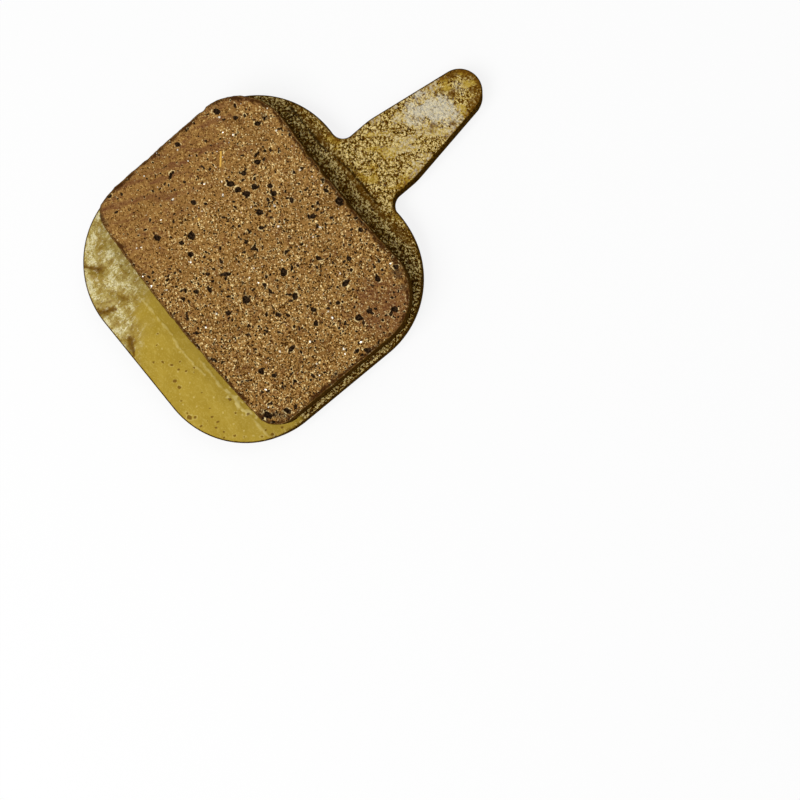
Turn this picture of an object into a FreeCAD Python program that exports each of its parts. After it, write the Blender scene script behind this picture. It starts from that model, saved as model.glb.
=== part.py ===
import FreeCAD, Part
import math
import os
from enum import IntEnum

import Sketcher

# A disc brake pad: a stamped steel plate with a pulling tab, and a friction block moulded onto it.
# The frame: the back of the plate lies on z = 0, the friction face looks up, the tab points to +Y,
# and the origin is the centre of the plate's rounded square. All lengths are millimetres.

# Driving dimensions, each with the words that stand beside it in the sheet
SIZES = [
    ("plate_width", 25.0, "rounded square, side to side"),
    ("plate_length", 24.8, "rounded square, far edge to shoulder"),
    ("plate_thickness", 1.8, "stamped sheet"),
    ("corner_radius", 7.85, "all four corners of the rounded square"),
    ("tab_length", 11.75, "shoulder to the tip of the tab"),
    ("tab_root_width", 6.12, "tab beside the shoulder"),
    ("tab_parallel", 2.4, "shoulder to the start of the taper"),
    ("tab_taper_blend", 6.0, "radius that eases the tab into its taper"),
    ("tab_tip_radius", 1.9, "full round end of the tab"),
    ("tab_root_fillet", 1.05, "inner radius between shoulder and tab"),
    ("back_edge_roll", 0.3, "rounding of the outline on the punch side"),
    ("front_edge_break", 0.12, "bevel of the outline on the friction side"),
    ("centre_key_diameter", 6.0, "hole in the middle of the plate"),
    ("tab_key_diameter", 3.5, "pair of holes on the tab side"),
    ("tab_key_across", 5.35, "their distance from the centre line"),
    ("tab_key_along", 5.05, "their distance from the centre towards the tab"),
    ("far_key_diameter", 4.0, "pair of holes on the far side"),
    ("far_key_across", 7.9, "their distance from the centre line"),
    ("far_key_along", 3.25, "their distance from the centre away from the tab"),
    ("key_rim_break", 0.1, "bevel of each hole on the back"),
    ("key_clearance", 0.02, "shrinkage gap between a key and its hole, on the radius"),
    ("key_recess", 0.25, "depth of each key's end below the back"),
    ("block_width", 23.8, "friction face, side to side"),
    ("block_tab_edge", 9.84, "centre to the middle of the friction face's tab edge"),
    ("block_far_edge", 7.19, "centre to the middle of the friction face's far edge"),
    ("block_sweep", 110.0, "radius of the tab edge, about the wheel's side"),
    ("block_tab_corner", 4.5, "corners of the friction face on the tab side"),
    ("block_far_corner", 2.1, "corners of the friction face on the far side"),
    ("block_height", 2.2, "friction face above the plate"),
    ("block_draft", 1.5, "slope of the block's walls, in degrees"),
    ("block_edge_break", 0.12, "bevel of the friction face's edge"),
    ("pit_depth", 0.15, "main graphite pits below the friction face"),
]

# The graphite pits that show most in the friction face: across and along the pad, and half width
MAIN_PITS = [
    (-10.97, 6.33, 0.24), (-6.43, -3.92, 0.25), (-5.83, 3.51, 0.24), (-5.74, 6.29, 0.23), (-5.07, 3.65, 0.23),
    (-4.72, -1.63, 0.29), (-4.44, 4.83, 0.22), (-4.38, 3.99, 0.27), (-3.61, -2.64, 0.23), (-2.99, 5.66, 0.23),
    (-2.57, 3.86, 0.23), (0.92, 9.37, 0.27), (2.07, -1.45, 0.31), (2.35, 2.29, 0.27), (4.43, 1.8, 0.22),
    (6.26, 5.63, 0.25), (7.17, 1.74, 0.22), (7.35, -4.2, 0.22), (7.63, 7.81, 0.23), (9.08, 4.69, 0.25),
    (10.33, 7.33, 0.23), (10.4, -6.0, 0.3),
]
PIT_SIDES = 6
PIT_TURN = 25.0

POSITION_TOLERANCE = 1e-4


class Axis(IntEnum):
    """A sketch's own axes, of which X starts at the origin."""

    X = -1
    Y = -2


class End(IntEnum):
    """The points of an edge that a constraint can name."""

    FIRST = 1
    LAST = 2
    CENTRE = 3


def add_sheet(doc):
    """Write the driving dimensions into a spreadsheet, one aliased cell each."""
    sheet = doc.addObject("Spreadsheet::Sheet", "Sizes")
    for row, (name, value, words) in enumerate(SIZES, start=1):
        sheet.set(f"A{row}", name)
        sheet.set(f"B{row}", str(value))
        sheet.setAlias(f"B{row}", name)
        sheet.set(f"C{row}", words)
    doc.recompute()
    return sheet


def attach(body, item, height=None):
    """Attach an item to the body's own XY plane, lifted by an expression where one is given."""
    plane = next(feature for feature in body.Origin.OriginFeatures if feature.Role == "XY_Plane")
    item.AttachmentSupport = [(plane, "")]
    item.MapMode = "FlatFace"
    if height:
        item.setExpression("AttachmentOffset.Base.z", height)


def add_sketch(body, name, height=None):
    """Add a sketch on the body's own XY plane, lifted by an expression where one is given."""
    sketch = body.newObject("Sketcher::SketchObject", name)
    attach(body, sketch, height)
    return sketch


def add_line(sketch, start, end):
    """Add a straight edge and return its index."""
    segment = Part.LineSegment(FreeCAD.Vector(*start, 0), FreeCAD.Vector(*end, 0))
    return sketch.addGeometry(segment)


def add_arc(sketch, centre, radius, first, last):
    """Add an arc that runs counter-clockwise between two angles in degrees."""
    circle = Part.Circle(FreeCAD.Vector(*centre, 0), FreeCAD.Vector(0, 0, 1), radius)
    return sketch.addGeometry(Part.ArcOfCircle(circle, math.radians(first), math.radians(last)))


def mirrored(right, first, last):
    """Return an arc's two angles as they stand, or mirrored about the centre line for the left side."""
    return (first, last) if right else (180 - last, 180 - first)


def drive(sketch, name, expression, kind, *where):
    """Add a named dimension and bind it to an expression over the sheet."""
    value = sketch.evalExpression(expression)
    index = sketch.addConstraint(Sketcher.Constraint(kind, *where, value))
    sketch.renameConstraint(index, name)
    sketch.setExpression(f"Constraints.{name}", expression)


def place_point(sketch, name, geometry, point, across=None, along=None):
    """Dimension a point from the origin across (X) and along (Y) the pad."""
    where = (Axis.X, End.FIRST, geometry, point)
    if across:
        drive(sketch, f"{name}_across", across, "DistanceX", *where)
    if along:
        drive(sketch, f"{name}_along", along, "DistanceY", *where)


def join_smoothly(sketch, *joints):
    """Make each pair of edge ends meet with one tangent."""
    for joint in joints:
        sketch.addConstraint(Sketcher.Constraint("Tangent", *joint))


def tab_taper_angle(size):
    """Angle in degrees by which the tab's sides lean in, tangent to the blend and to the tip."""
    across = size.tab_taper_blend - size.tab_root_width / 2
    along = size.tab_length - size.tab_tip_radius - size.tab_parallel
    reach = (size.tab_taper_blend - size.tab_tip_radius) / math.hypot(across, along)
    return math.degrees(math.atan2(along, across) - math.acos(reach))


def draw_plate_outline(body, size):
    """Draw the rounded square with its tapered tab as one closed chain of tangent edges."""
    sketch = add_sketch(body, "plate_outline")
    side = size.plate_width / 2
    shoulder = size.plate_length / 2
    corner = size.corner_radius
    corner_x = side - corner
    corner_y = shoulder - corner
    tab_side = size.tab_root_width / 2
    root_x = tab_side + size.tab_root_fillet
    root_y = corner_y + math.sqrt((corner + size.tab_root_fillet) ** 2 - (corner_x - root_x) ** 2)
    shoulder_turn = math.degrees(math.atan2(root_y - corner_y, root_x - corner_x))
    taper = tab_taper_angle(size)
    taper_y = shoulder + size.tab_parallel
    blend_x = tab_side - size.tab_taper_blend
    tip_y = shoulder + size.tab_length - size.tab_tip_radius
    lean = FreeCAD.Vector(math.cos(math.radians(taper)), math.sin(math.radians(taper)), 0)
    taper_start = FreeCAD.Vector(blend_x, taper_y, 0) + lean * size.tab_taper_blend
    taper_end = FreeCAD.Vector(0, tip_y, 0) + lean * size.tab_tip_radius

    far = add_line(sketch, (-corner_x, -shoulder), (corner_x, -shoulder))
    tip = add_arc(sketch, (0, tip_y), size.tab_tip_radius, taper, 180 - taper)
    sketch.addConstraint(Sketcher.Constraint("Horizontal", far))
    place_point(sketch, "far_edge", far, End.FIRST, along="-Sizes.plate_length / 2")
    sketch.addConstraint(Sketcher.Constraint("PointOnObject", tip, End.CENTRE, Axis.Y))
    place_point(sketch, "tip", tip, End.CENTRE,
                along="Sizes.plate_length / 2 + Sizes.tab_length - Sizes.tab_tip_radius")
    drive(sketch, "tip_radius", "Sizes.tab_tip_radius", "Radius", tip)

    for name, sign in (("right", 1), ("left", -1)):
        right = sign > 0
        # An arc's start and end swap places when it is mirrored
        first, last = (End.FIRST, End.LAST) if right else (End.LAST, End.FIRST)
        far_arc = add_arc(sketch, (sign * corner_x, -corner_y), corner, *mirrored(right, -90, 0))
        side_line = add_line(sketch, (sign * side, -corner_y), (sign * side, corner_y))
        shoulder_arc = add_arc(sketch, (sign * corner_x, corner_y), corner,
                               *mirrored(right, 0, shoulder_turn))
        root_arc = add_arc(sketch, (sign * root_x, root_y), size.tab_root_fillet,
                           *mirrored(right, 180, 180 + shoulder_turn))
        tab_line = add_line(sketch, (sign * tab_side, root_y), (sign * tab_side, taper_y))
        blend_arc = add_arc(sketch, (sign * blend_x, taper_y), size.tab_taper_blend,
                            *mirrored(right, 0, taper))
        taper_line = add_line(sketch, (sign * taper_start.x, taper_start.y),
                              (sign * taper_end.x, taper_end.y))
        join_smoothly(
            sketch,
            (far, End.LAST if right else End.FIRST, far_arc, first),
            (far_arc, last, side_line, End.FIRST),
            (side_line, End.LAST, shoulder_arc, first),
            (shoulder_arc, last, root_arc, last),
            (root_arc, first, tab_line, End.FIRST),
            (tab_line, End.LAST, blend_arc, first),
            (blend_arc, last, taper_line, End.FIRST),
            (taper_line, End.LAST, tip, first),
        )
        for upright in (side_line, tab_line):
            sketch.addConstraint(Sketcher.Constraint("Vertical", upright))
        minus = "" if right else "-"
        place_point(sketch, f"{name}_side", side_line, End.FIRST, across=f"{minus}Sizes.plate_width / 2")
        place_point(sketch, f"{name}_shoulder", shoulder_arc, End.CENTRE,
                    along="Sizes.plate_length / 2 - Sizes.corner_radius")
        place_point(sketch, f"{name}_taper", tab_line, End.LAST, across=f"{minus}Sizes.tab_root_width / 2",
                    along="Sizes.plate_length / 2 + Sizes.tab_parallel")
        drive(sketch, f"{name}_far_radius", "Sizes.corner_radius", "Radius", far_arc)
        drive(sketch, f"{name}_shoulder_radius", "Sizes.corner_radius", "Radius", shoulder_arc)
        drive(sketch, f"{name}_root_radius", "Sizes.tab_root_fillet", "Radius", root_arc)
        drive(sketch, f"{name}_blend_radius", "Sizes.tab_taper_blend", "Radius", blend_arc)
    return sketch


def draw_block_outline(body, size):
    """Draw the friction face: straight sides, swept tab and far edges, and rounded corners."""
    sketch = add_sketch(body, "block_outline", "Sizes.plate_thickness + Sizes.block_height")
    side = size.block_width / 2
    sweep_y = size.block_tab_edge + size.block_sweep
    far_sweep = sweep_y + size.block_far_edge
    tab_x = side - size.block_tab_corner
    tab_y = sweep_y - math.sqrt((size.block_sweep + size.block_tab_corner) ** 2 - tab_x ** 2)
    far_x = side - size.block_far_corner
    far_y = sweep_y - math.sqrt((far_sweep - size.block_far_corner) ** 2 - far_x ** 2)
    tab_turn = math.degrees(math.atan2(sweep_y - tab_y, -tab_x))
    far_turn = math.degrees(math.atan2(far_y - sweep_y, far_x))

    tab_edge = add_arc(sketch, (0, sweep_y), size.block_sweep, -tab_turn, tab_turn - 180)
    far_edge = add_arc(sketch, (0, sweep_y), far_sweep, -180 - far_turn, far_turn)
    sketch.addConstraint(Sketcher.Constraint("PointOnObject", tab_edge, End.CENTRE, Axis.Y))
    sketch.addConstraint(Sketcher.Constraint("Coincident", far_edge, End.CENTRE, tab_edge, End.CENTRE))
    place_point(sketch, "sweep", tab_edge, End.CENTRE, along="Sizes.block_tab_edge + Sizes.block_sweep")
    drive(sketch, "tab_sweep", "Sizes.block_sweep", "Radius", tab_edge)
    drive(sketch, "far_sweep", "Sizes.block_sweep + Sizes.block_tab_edge + Sizes.block_far_edge",
          "Radius", far_edge)

    for name, sign in (("right", 1), ("left", -1)):
        right = sign > 0
        # An arc's start and end swap places when it is mirrored
        first, last = (End.FIRST, End.LAST) if right else (End.LAST, End.FIRST)
        far_corner = add_arc(sketch, (sign * far_x, far_y), size.block_far_corner,
                             *mirrored(right, far_turn, 0))
        side_line = add_line(sketch, (sign * side, far_y), (sign * side, tab_y))
        tab_corner = add_arc(sketch, (sign * tab_x, tab_y), size.block_tab_corner,
                             *mirrored(right, 0, tab_turn))
        join_smoothly(
            sketch,
            (far_edge, End.LAST if right else End.FIRST, far_corner, first),
            (far_corner, last, side_line, End.FIRST),
            (side_line, End.LAST, tab_corner, first),
            (tab_corner, last, tab_edge, End.LAST if right else End.FIRST),
        )
        sketch.addConstraint(Sketcher.Constraint("Vertical", side_line))
        minus = "" if right else "-"
        place_point(sketch, f"{name}_side", side_line, End.FIRST, across=f"{minus}Sizes.block_width / 2")
        drive(sketch, f"{name}_far_corner", "Sizes.block_far_corner", "Radius", far_corner)
        drive(sketch, f"{name}_tab_corner", "Sizes.block_tab_corner", "Radius", tab_corner)
    return sketch


def draw_keys(body, name, size, height=None, clearance=""):
    """Draw the five round keys: one in the middle, a pair on the tab side and a pair on the far side."""
    sketch = add_sketch(body, name, height)
    keys = [("centre", "centre_key_diameter", "0", "0")]
    for side, minus in (("right", ""), ("left", "-")):
        keys.append((f"{side}_tab", "tab_key_diameter", f"{minus}Sizes.tab_key_across",
                     "Sizes.tab_key_along"))
        keys.append((f"{side}_far", "far_key_diameter", f"{minus}Sizes.far_key_across",
                     "-Sizes.far_key_along"))
    for key, diameter, across, along in keys:
        centre = FreeCAD.Vector(sketch.evalExpression(across), sketch.evalExpression(along), 0)
        radius = getattr(size, diameter) / 2
        circle = sketch.addGeometry(Part.Circle(centre, FreeCAD.Vector(0, 0, 1), radius))
        if key == "centre":
            sketch.addConstraint(Sketcher.Constraint("Coincident", circle, End.CENTRE, Axis.X, End.FIRST))
        else:
            place_point(sketch, key, circle, End.CENTRE, across=across, along=along)
        drive(sketch, f"{key}_radius", f"Sizes.{diameter} / 2{clearance}", "Radius", circle)
    return sketch


def add_pad(body, name, sketch, length, downwards=False, draft=None):
    """Pad a sketch by an expression, upwards unless told otherwise."""
    pad = body.newObject("PartDesign::Pad", name)
    pad.Profile = sketch
    pad.Reversed = downwards
    pad.setExpression("Length", length)
    if draft:
        pad.setExpression("TaperAngle", draft)
    return pad


def pick_edges(base, wanted):
    """Name the edges of a feature that answer to a test."""
    base.Document.recompute()
    return [f"Edge{index}" for index, edge in enumerate(base.Shape.Edges, start=1) if wanted(edge)]


def round_edges(body, name, base, radius, wanted):
    """Round the edges of a feature that answer to a test, with a radius from the sheet."""
    edges = pick_edges(base, wanted)
    fillet = body.newObject("PartDesign::Fillet", name)
    fillet.Base = (base, edges)
    fillet.setExpression("Radius", radius)
    return fillet


def bevel_edges(body, name, base, size, wanted):
    """Bevel the edges of a feature that answer to a test, with a size from the sheet."""
    edges = pick_edges(base, wanted)
    chamfer = body.newObject("PartDesign::Chamfer", name)
    chamfer.Base = (base, edges)
    chamfer.setExpression("Size", size)
    return chamfer


def lies_at(edge, height):
    """Tell whether the whole edge lies at one height."""
    box = edge.BoundBox
    return abs(box.ZMin - height) < POSITION_TOLERANCE and abs(box.ZMax - height) < POSITION_TOLERANCE


def make_back_plate(doc, size):
    """Stamp the plate: outline, five holes, and edges rolled over by the punch."""
    body = doc.addObject("PartDesign::Body", "back_plate")
    body.Label = "back_plate"
    blank = add_pad(body, "plate_blank", draw_plate_outline(body, size), "Sizes.plate_thickness")
    holes = body.newObject("PartDesign::Pocket", "key_holes")
    holes.Profile = draw_keys(body, "key_hole_circles", size)
    holes.Type = "ThroughAll"
    holes.Reversed = True
    doc.recompute()
    if not holes.Shape.Volume < blank.Shape.Volume:
        raise RuntimeError("the key holes cut nothing out of the plate")
    back_roll = round_edges(body, "back_roll", holes, "Sizes.back_edge_roll",
                            lambda edge: lies_at(edge, 0) and not edge.isClosed())
    front_break = bevel_edges(body, "front_break", back_roll, "Sizes.front_edge_break",
                              lambda edge: lies_at(edge, size.plate_thickness) and not edge.isClosed())
    bevel_edges(body, "key_rims", front_break, "Sizes.key_rim_break",
                lambda edge: lies_at(edge, 0) and edge.isClosed())
    return body


def sink_pits(body):
    """Sink the main pits into the friction face, each a shallow hollow with a few flat sides."""
    for number, (across, along, half_width) in enumerate(MAIN_PITS, start=1):
        pit = body.newObject("PartDesign::SubtractivePrism", f"pit_{number}")
        pit.Polygon = PIT_SIDES
        pit.Circumradius = half_width
        # The prism stands out of the face by as much as it is sunk, so that it cuts clean through it
        pit.setExpression("Height", "2 * Sizes.pit_depth")
        turn = FreeCAD.Rotation(FreeCAD.Vector(0, 0, 1), number * PIT_TURN)
        pit.AttachmentOffset = FreeCAD.Placement(FreeCAD.Vector(across, along, 0), turn)
        attach(body, pit, "Sizes.plate_thickness + Sizes.block_height - Sizes.pit_depth")


def make_friction_block(doc, size):
    """Mould the block on the plate's face, with keys down into the plate's holes and a pitted face."""
    body = doc.addObject("PartDesign::Body", "friction_block")
    body.Label = "friction_block"
    block = add_pad(body, "block", draw_block_outline(body, size), "Sizes.block_height",
                    downwards=True, draft="Sizes.block_draft")
    circles = draw_keys(body, "key_circles", size, "Sizes.plate_thickness", " - Sizes.key_clearance")
    doc.recompute()
    keys = add_pad(body, "keys", circles, "Sizes.plate_thickness - Sizes.key_recess", downwards=True)
    doc.recompute()
    if not keys.Shape.Volume > block.Shape.Volume:
        raise RuntimeError("the keys add nothing to the block")
    friction_face = size.plate_thickness + size.block_height
    smooth = bevel_edges(body, "face_edge", keys, "Sizes.block_edge_break",
                         lambda edge: lies_at(edge, friction_face))
    sink_pits(body)
    doc.recompute()
    if not body.Shape.Volume < smooth.Shape.Volume:
        raise RuntimeError("the pits cut nothing out of the friction face")
    return body


def check_document(doc, bodies):
    """Stop if any object failed or any piece isn't one valid solid."""
    for item in doc.Objects:
        if "Invalid" in item.State or "Error" in item.State:
            raise RuntimeError(f"{item.Name} failed: {item.State}")
    for body in bodies:
        shape = body.Shape
        if shape.isNull() or not shape.isValid() or len(shape.Solids) != 1:
            raise RuntimeError(f"{body.Label} isn't one valid solid")


def main():
    """Build both pieces and write one STEP file for each."""
    doc = FreeCAD.newDocument("disc_brake_pad")
    size = add_sheet(doc)
    bodies = [make_back_plate(doc, size), make_friction_block(doc, size)]
    doc.recompute()
    check_document(doc, bodies)
    os.makedirs("parts", exist_ok=True)
    for body in bodies:
        body.Shape.exportStep(f"parts/{body.Label}.step")
        print(body.Label, round(body.Shape.Volume, 2), body.Shape.BoundBox)


main()
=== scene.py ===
"""Looks of a disc brake pad.

A coated steel plate carries a ground block of sintered metal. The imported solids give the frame. Both pieces
are meshed again in the same place and at the same size, with the relief of their surfaces, and dressed with
procedural finishes. Lengths inside the classes are millimetres in the part's own frame: the back of the
plate on z = 0, the friction face up, the tab along +Y. Angles are degrees from +X.
"""

import logging
import math
from dataclasses import dataclass
from enum import IntEnum
from typing import ClassVar

import bpy
import numpy as np
from mathutils import Matrix, Vector
from mathutils.geometry import delaunay_2d_cdt
from mathutils.kdtree import KDTree


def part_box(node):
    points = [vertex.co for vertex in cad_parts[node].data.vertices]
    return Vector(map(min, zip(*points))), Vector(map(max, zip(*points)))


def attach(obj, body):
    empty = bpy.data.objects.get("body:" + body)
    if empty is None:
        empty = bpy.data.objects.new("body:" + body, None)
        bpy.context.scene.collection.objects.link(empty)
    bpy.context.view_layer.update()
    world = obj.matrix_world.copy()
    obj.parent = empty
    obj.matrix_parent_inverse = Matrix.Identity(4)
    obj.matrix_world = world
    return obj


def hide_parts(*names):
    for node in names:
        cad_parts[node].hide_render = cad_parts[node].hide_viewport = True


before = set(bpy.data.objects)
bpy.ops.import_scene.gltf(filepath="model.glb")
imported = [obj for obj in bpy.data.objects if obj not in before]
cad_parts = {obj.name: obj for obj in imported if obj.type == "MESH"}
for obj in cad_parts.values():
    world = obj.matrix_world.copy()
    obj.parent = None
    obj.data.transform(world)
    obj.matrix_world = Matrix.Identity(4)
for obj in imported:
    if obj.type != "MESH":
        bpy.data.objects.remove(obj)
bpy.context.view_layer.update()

MM = 0.001
PER_METRE = 1000.0
BODY = "root"
LOG = logging.getLogger("brake_pad")

Array = np.ndarray
Place = tuple[float, float]
Point = tuple[float, float, float]
Span = tuple[float, float]
Colour = tuple[float, float, float, float]
Tones = tuple[tuple[float, Colour], ...]
Weights = dict[str, float]
Grades = dict[str, Array]
Socket = bpy.types.NodeSocket
Node = bpy.types.Node
Tree = bpy.types.NodeTree
Material = bpy.types.Material
Piece = bpy.types.Object
Inputs = dict[str | int, object]

UNIT: Span = (0.0, 1.0)
# Direction in which the friction face was ground
GRIND_TURN = 65.0


def paint(red: int, green: int, blue: int) -> Colour:
    """Turn a colour as a screen shows it into linear light.

    Args:
        red: level of red, 0 to 255.
        green: level of green, 0 to 255.
        blue: level of blue, 0 to 255.

    Returns:
        The linear colour, opaque.
    """
    full, knee, slope, lift, power = 255.0, 0.04045, 12.92, 0.055, 2.4
    shares = np.array([red, green, blue]) / full
    linear = np.where(shares <= knee, shares / slope, ((shares + lift) / (1.0 + lift)) ** power)
    return (*linear.tolist(), 1.0)


def ease(values: Array, span: Span) -> Array:
    """Grade values smoothly from 0 at the span's first value to 1 at its last, which may be the lower one."""
    share = np.clip((values - span[0]) / (span[1] - span[0]), 0.0, 1.0)
    return share * share * (3.0 - 2.0 * share)


def turned(x: Array, y: Array, turn: float) -> tuple[Array, Array]:
    """Read places along and across a direction.

    Args:
        x: places across the pad.
        y: places along the pad.
        turn: angle of the direction.

    Returns:
        The places along the direction and those across it.
    """
    cosine = math.cos(math.radians(turn))
    sine = math.sin(math.radians(turn))
    return x * cosine + y * sine, y * cosine - x * sine


def total(masks: Grades, weights: Weights) -> Array:
    """Add up masks by their weights."""
    return np.sum([weight * masks[name] for name, weight in weights.items()], 0)


def most(masks: Grades, weights: Weights) -> Array:
    """Take the strongest of some weighted masks at every place."""
    return np.max([weight * masks[name] for name, weight in weights.items()], 0)


class LatticeNoise:
    """Smooth random heights between -1 and 1 on a seeded lattice."""

    LATTICE: ClassVar[int] = 256
    LAYER_SHIFT: ClassVar[Place] = (7.3, -3.1)
    LAYER_SHARE: ClassVar[float] = 0.5

    def __init__(self, seed: int) -> None:
        """Draw the lattice from a seed."""
        self.heights = np.random.default_rng(seed).uniform(-1.0, 1.0, (self.LATTICE, self.LATTICE))

    def at(self, x: Array, y: Array, cell: float) -> Array:
        """Read the noise.

        Args:
            x: places across the pad.
            y: places along the pad.
            cell: size of a lattice cell.

        Returns:
            One height for each place.
        """
        column = np.floor(x / cell).astype(int)
        row = np.floor(y / cell).astype(int)
        share_x = ease(x / cell - column, UNIT)
        share_y = ease(y / cell - row, UNIT)
        left = column % self.LATTICE
        right = (column + 1) % self.LATTICE
        low = row % self.LATTICE
        high = (row + 1) % self.LATTICE
        below = self.heights[left, low] * (1 - share_x) + self.heights[right, low] * share_x
        above = self.heights[left, high] * (1 - share_x) + self.heights[right, high] * share_x
        return below * (1 - share_y) + above * share_y

    def layered(self, x: Array, y: Array, cell: float, layers: int) -> Array:
        """Add finer and fainter layers of the noise.

        Args:
            x: places across the pad.
            y: places along the pad.
            cell: size of the coarsest cell.
            layers: how many layers, each half as large and half as strong as the last.

        Returns:
            One height for each place, between -1 and 1.
        """
        heights = np.zeros_like(x)
        strength = 1.0
        strengths = 0.0
        for layer in range(layers):
            moved_x = x + self.LAYER_SHIFT[0] * layer
            moved_y = y + self.LAYER_SHIFT[1] * layer
            heights = heights + strength * self.at(moved_x, moved_y, cell)
            strengths += strength
            strength *= self.LAYER_SHARE
            cell *= self.LAYER_SHARE
        return heights / strengths


@dataclass(frozen=True)
class Texture:
    """One kind of noise on a surface: the size of its cells, its layers and how far aside it is read."""

    cell: float
    layers: int = 1
    shift: float = 0.0


@dataclass(frozen=True)
class Soft:
    """A soft limit: the values that give 0 and 1, and how strongly which textures make it ragged."""

    span: Span
    ragged: tuple[tuple[float, Texture], ...] = ()


@dataclass(frozen=True)
class Spot:
    """An oval mark: its middle, its half length and half width, the turn of its length and its strength."""

    centre: Place
    reach: Place
    turn: float = 0.0
    strength: float = 1.0

    def grade(self, x: Array, y: Array) -> Array:
        """Grade places by the mark: its strength in the middle, 0 on the oval and less outside."""
        along, across = turned(x - self.centre[0], y - self.centre[1], self.turn)
        return self.strength * (1.0 - np.hypot(along / self.reach[0], across / self.reach[1]))


@dataclass(frozen=True)
class Line:
    """A thin line: its ends and bends in order, and half its width."""

    places: tuple[Place, ...]
    width: float

    def grade(self, x: Array, y: Array) -> Array:
        """Grade places by the line.

        Args:
            x: places across the pad.
            y: places along the pad.

        Returns:
            1 on the line, 0 at its sides and less outside.
        """
        nearest = np.full(len(x), np.inf)
        for start, end in zip(self.places, self.places[1:]):
            run = np.array(end) - np.array(start)
            share = np.clip(((x - start[0]) * run[0] + (y - start[1]) * run[1]) / (run @ run), 0.0, 1.0)
            gap = np.hypot(x - start[0] - share * run[0], y - start[1] - share * run[1])
            nearest = np.minimum(nearest, gap)
        return 1.0 - nearest / self.width


Marks = tuple[Spot | Line, ...]


class Surface:
    """Places on a piece, with the noise that roughens and wears them."""

    def __init__(self, places: Array, noise: LatticeNoise) -> None:
        """Keep the places and the noise.

        Args:
            places: points of the plane.
            noise: noise of the piece.
        """
        self.x = places[:, 0]
        self.y = places[:, 1]
        self.noise = noise

    def read(self, texture: Texture) -> Array:
        """Read a texture at the places."""
        return self.noise.layered(self.x + texture.shift, self.y, texture.cell, texture.layers)

    def drawn(self, turn: float, stretch: float, texture: Texture) -> Array:
        """Read a texture that is drawn out in one direction."""
        along, across = turned(self.x, self.y, turn)
        return self.noise.layered(along / stretch, across, texture.cell, texture.layers)

    def soft(self, values: Array, limit: Soft) -> Array:
        """Grade values by a soft limit.

        Args:
            values: one value for each place.
            limit: the limit.

        Returns:
            Grades between 0 and 1.
        """
        for strength, texture in limit.ragged:
            values = values + strength * self.read(texture)
        return ease(values, limit.span)

    def strongest(self, marks: Marks) -> Array:
        """Give the highest grade of some marks at every place."""
        return np.max([mark.grade(self.x, self.y) for mark in marks], 0)

    def marked(self, marks: Marks, limit: Soft) -> Array:
        """Grade the places by marks with a soft limit."""
        return self.soft(self.strongest(marks), limit)


@dataclass(frozen=True)
class Straight:
    """A straight stretch of an outline."""

    start: Place
    end: Place

    def points(self, step: float) -> Array:
        """Give points along the stretch.

        Args:
            step: distance between points.

        Returns:
            The points, both ends included.
        """
        count = max(2, round(math.dist(self.start, self.end) / step) + 1)
        share = np.linspace(0.0, 1.0, count)[:, None]
        return np.array(self.start) * (1 - share) + np.array(self.end) * share


@dataclass(frozen=True)
class Bend:
    """A round stretch of an outline between two angles."""

    centre: Place
    radius: float
    first: float
    last: float

    def points(self, step: float) -> Array:
        """Give points along the stretch.

        Args:
            step: distance between points.

        Returns:
            The points, both ends included.
        """
        sweep = abs(math.radians(self.last - self.first)) * self.radius
        count = max(3, round(sweep / step) + 1)
        angle = np.radians(np.linspace(self.first, self.last, count))
        return np.array(self.centre) + self.radius * np.stack([np.cos(angle), np.sin(angle)], 1)


def closed_outline(right_half: list[Straight | Bend], step: float) -> Array:
    """Trace the right half of an outline and close it with its mirror image.

    Args:
        right_half: stretches, counter-clockwise from the middle of the far edge to that of the tab side.
        step: distance between points.

    Returns:
        The points of the whole outline, counter-clockwise.
    """
    traced = [stretch.points(step)[:-1] for stretch in right_half]
    last = right_half[-1].points(step)[-1:]
    right = np.concatenate([*traced, last])
    left = right[-2:0:-1] * np.array([-1.0, 1.0])
    return np.concatenate([right, left])


def circle(centre: Place, radius: float, step: float) -> Array:
    """Give the points of a circle, counter-clockwise and a step apart."""
    return Bend(centre, radius, 0.0, 360.0).points(step)[:-1]


class Fence:
    """A closed outline that tells how deep inside it a place lies."""

    def __init__(self, loop: Array) -> None:
        """Keep the outline and its outward directions.

        Args:
            loop: points of the outline, counter-clockwise.
        """
        self.loop = loop
        ahead = np.roll(loop, -1, 0) - np.roll(loop, 1, 0)
        ahead /= np.linalg.norm(ahead, axis=1)[:, None]
        self.outward = np.stack([ahead[:, 1], -ahead[:, 0]], 1)
        self.tree = KDTree(len(loop))
        for index, point in enumerate(loop):
            self.tree.insert((point[0], point[1], 0.0), index)
        self.tree.balance()

    def inset(self, distance: Array | float) -> Array:
        """Give the outline's points moved inwards, by one distance or one for each point."""
        return self.loop - self.outward * np.broadcast_to(distance, len(self.loop))[:, None]

    def depth(self, places: Array) -> Array:
        """Measure how deep places lie inside the outline.

        Args:
            places: points of the plane.

        Returns:
            Distances to the outline, negative outside it.
        """
        depths = np.empty(len(places))
        for index, (x, y) in enumerate(places):
            _, nearest, distance = self.tree.find((x, y, 0.0))
            gap = self.loop[nearest] - (x, y)
            depths[index] = math.copysign(distance, gap @ self.outward[nearest])
        return depths


def scatter(low: Place, high: Place, spacing: float, seed: int) -> Array:
    """Spread points over a rectangle in a slightly shaken honeycomb.

    Args:
        low: lower corner.
        high: upper corner.
        spacing: distance between neighbours.
        seed: number that fixes the shaking.

    Returns:
        The points.
    """
    shake = 0.18
    across = np.arange(low[0], high[0], spacing)
    along = np.arange(low[1], high[1], spacing * math.sqrt(0.75))
    x, y = np.meshgrid(across, along)
    x[1::2] += spacing / 2
    points = np.stack([x.ravel(), y.ravel()], 1)
    return points + np.random.default_rng(seed).uniform(-shake, shake, points.shape) * spacing


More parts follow.
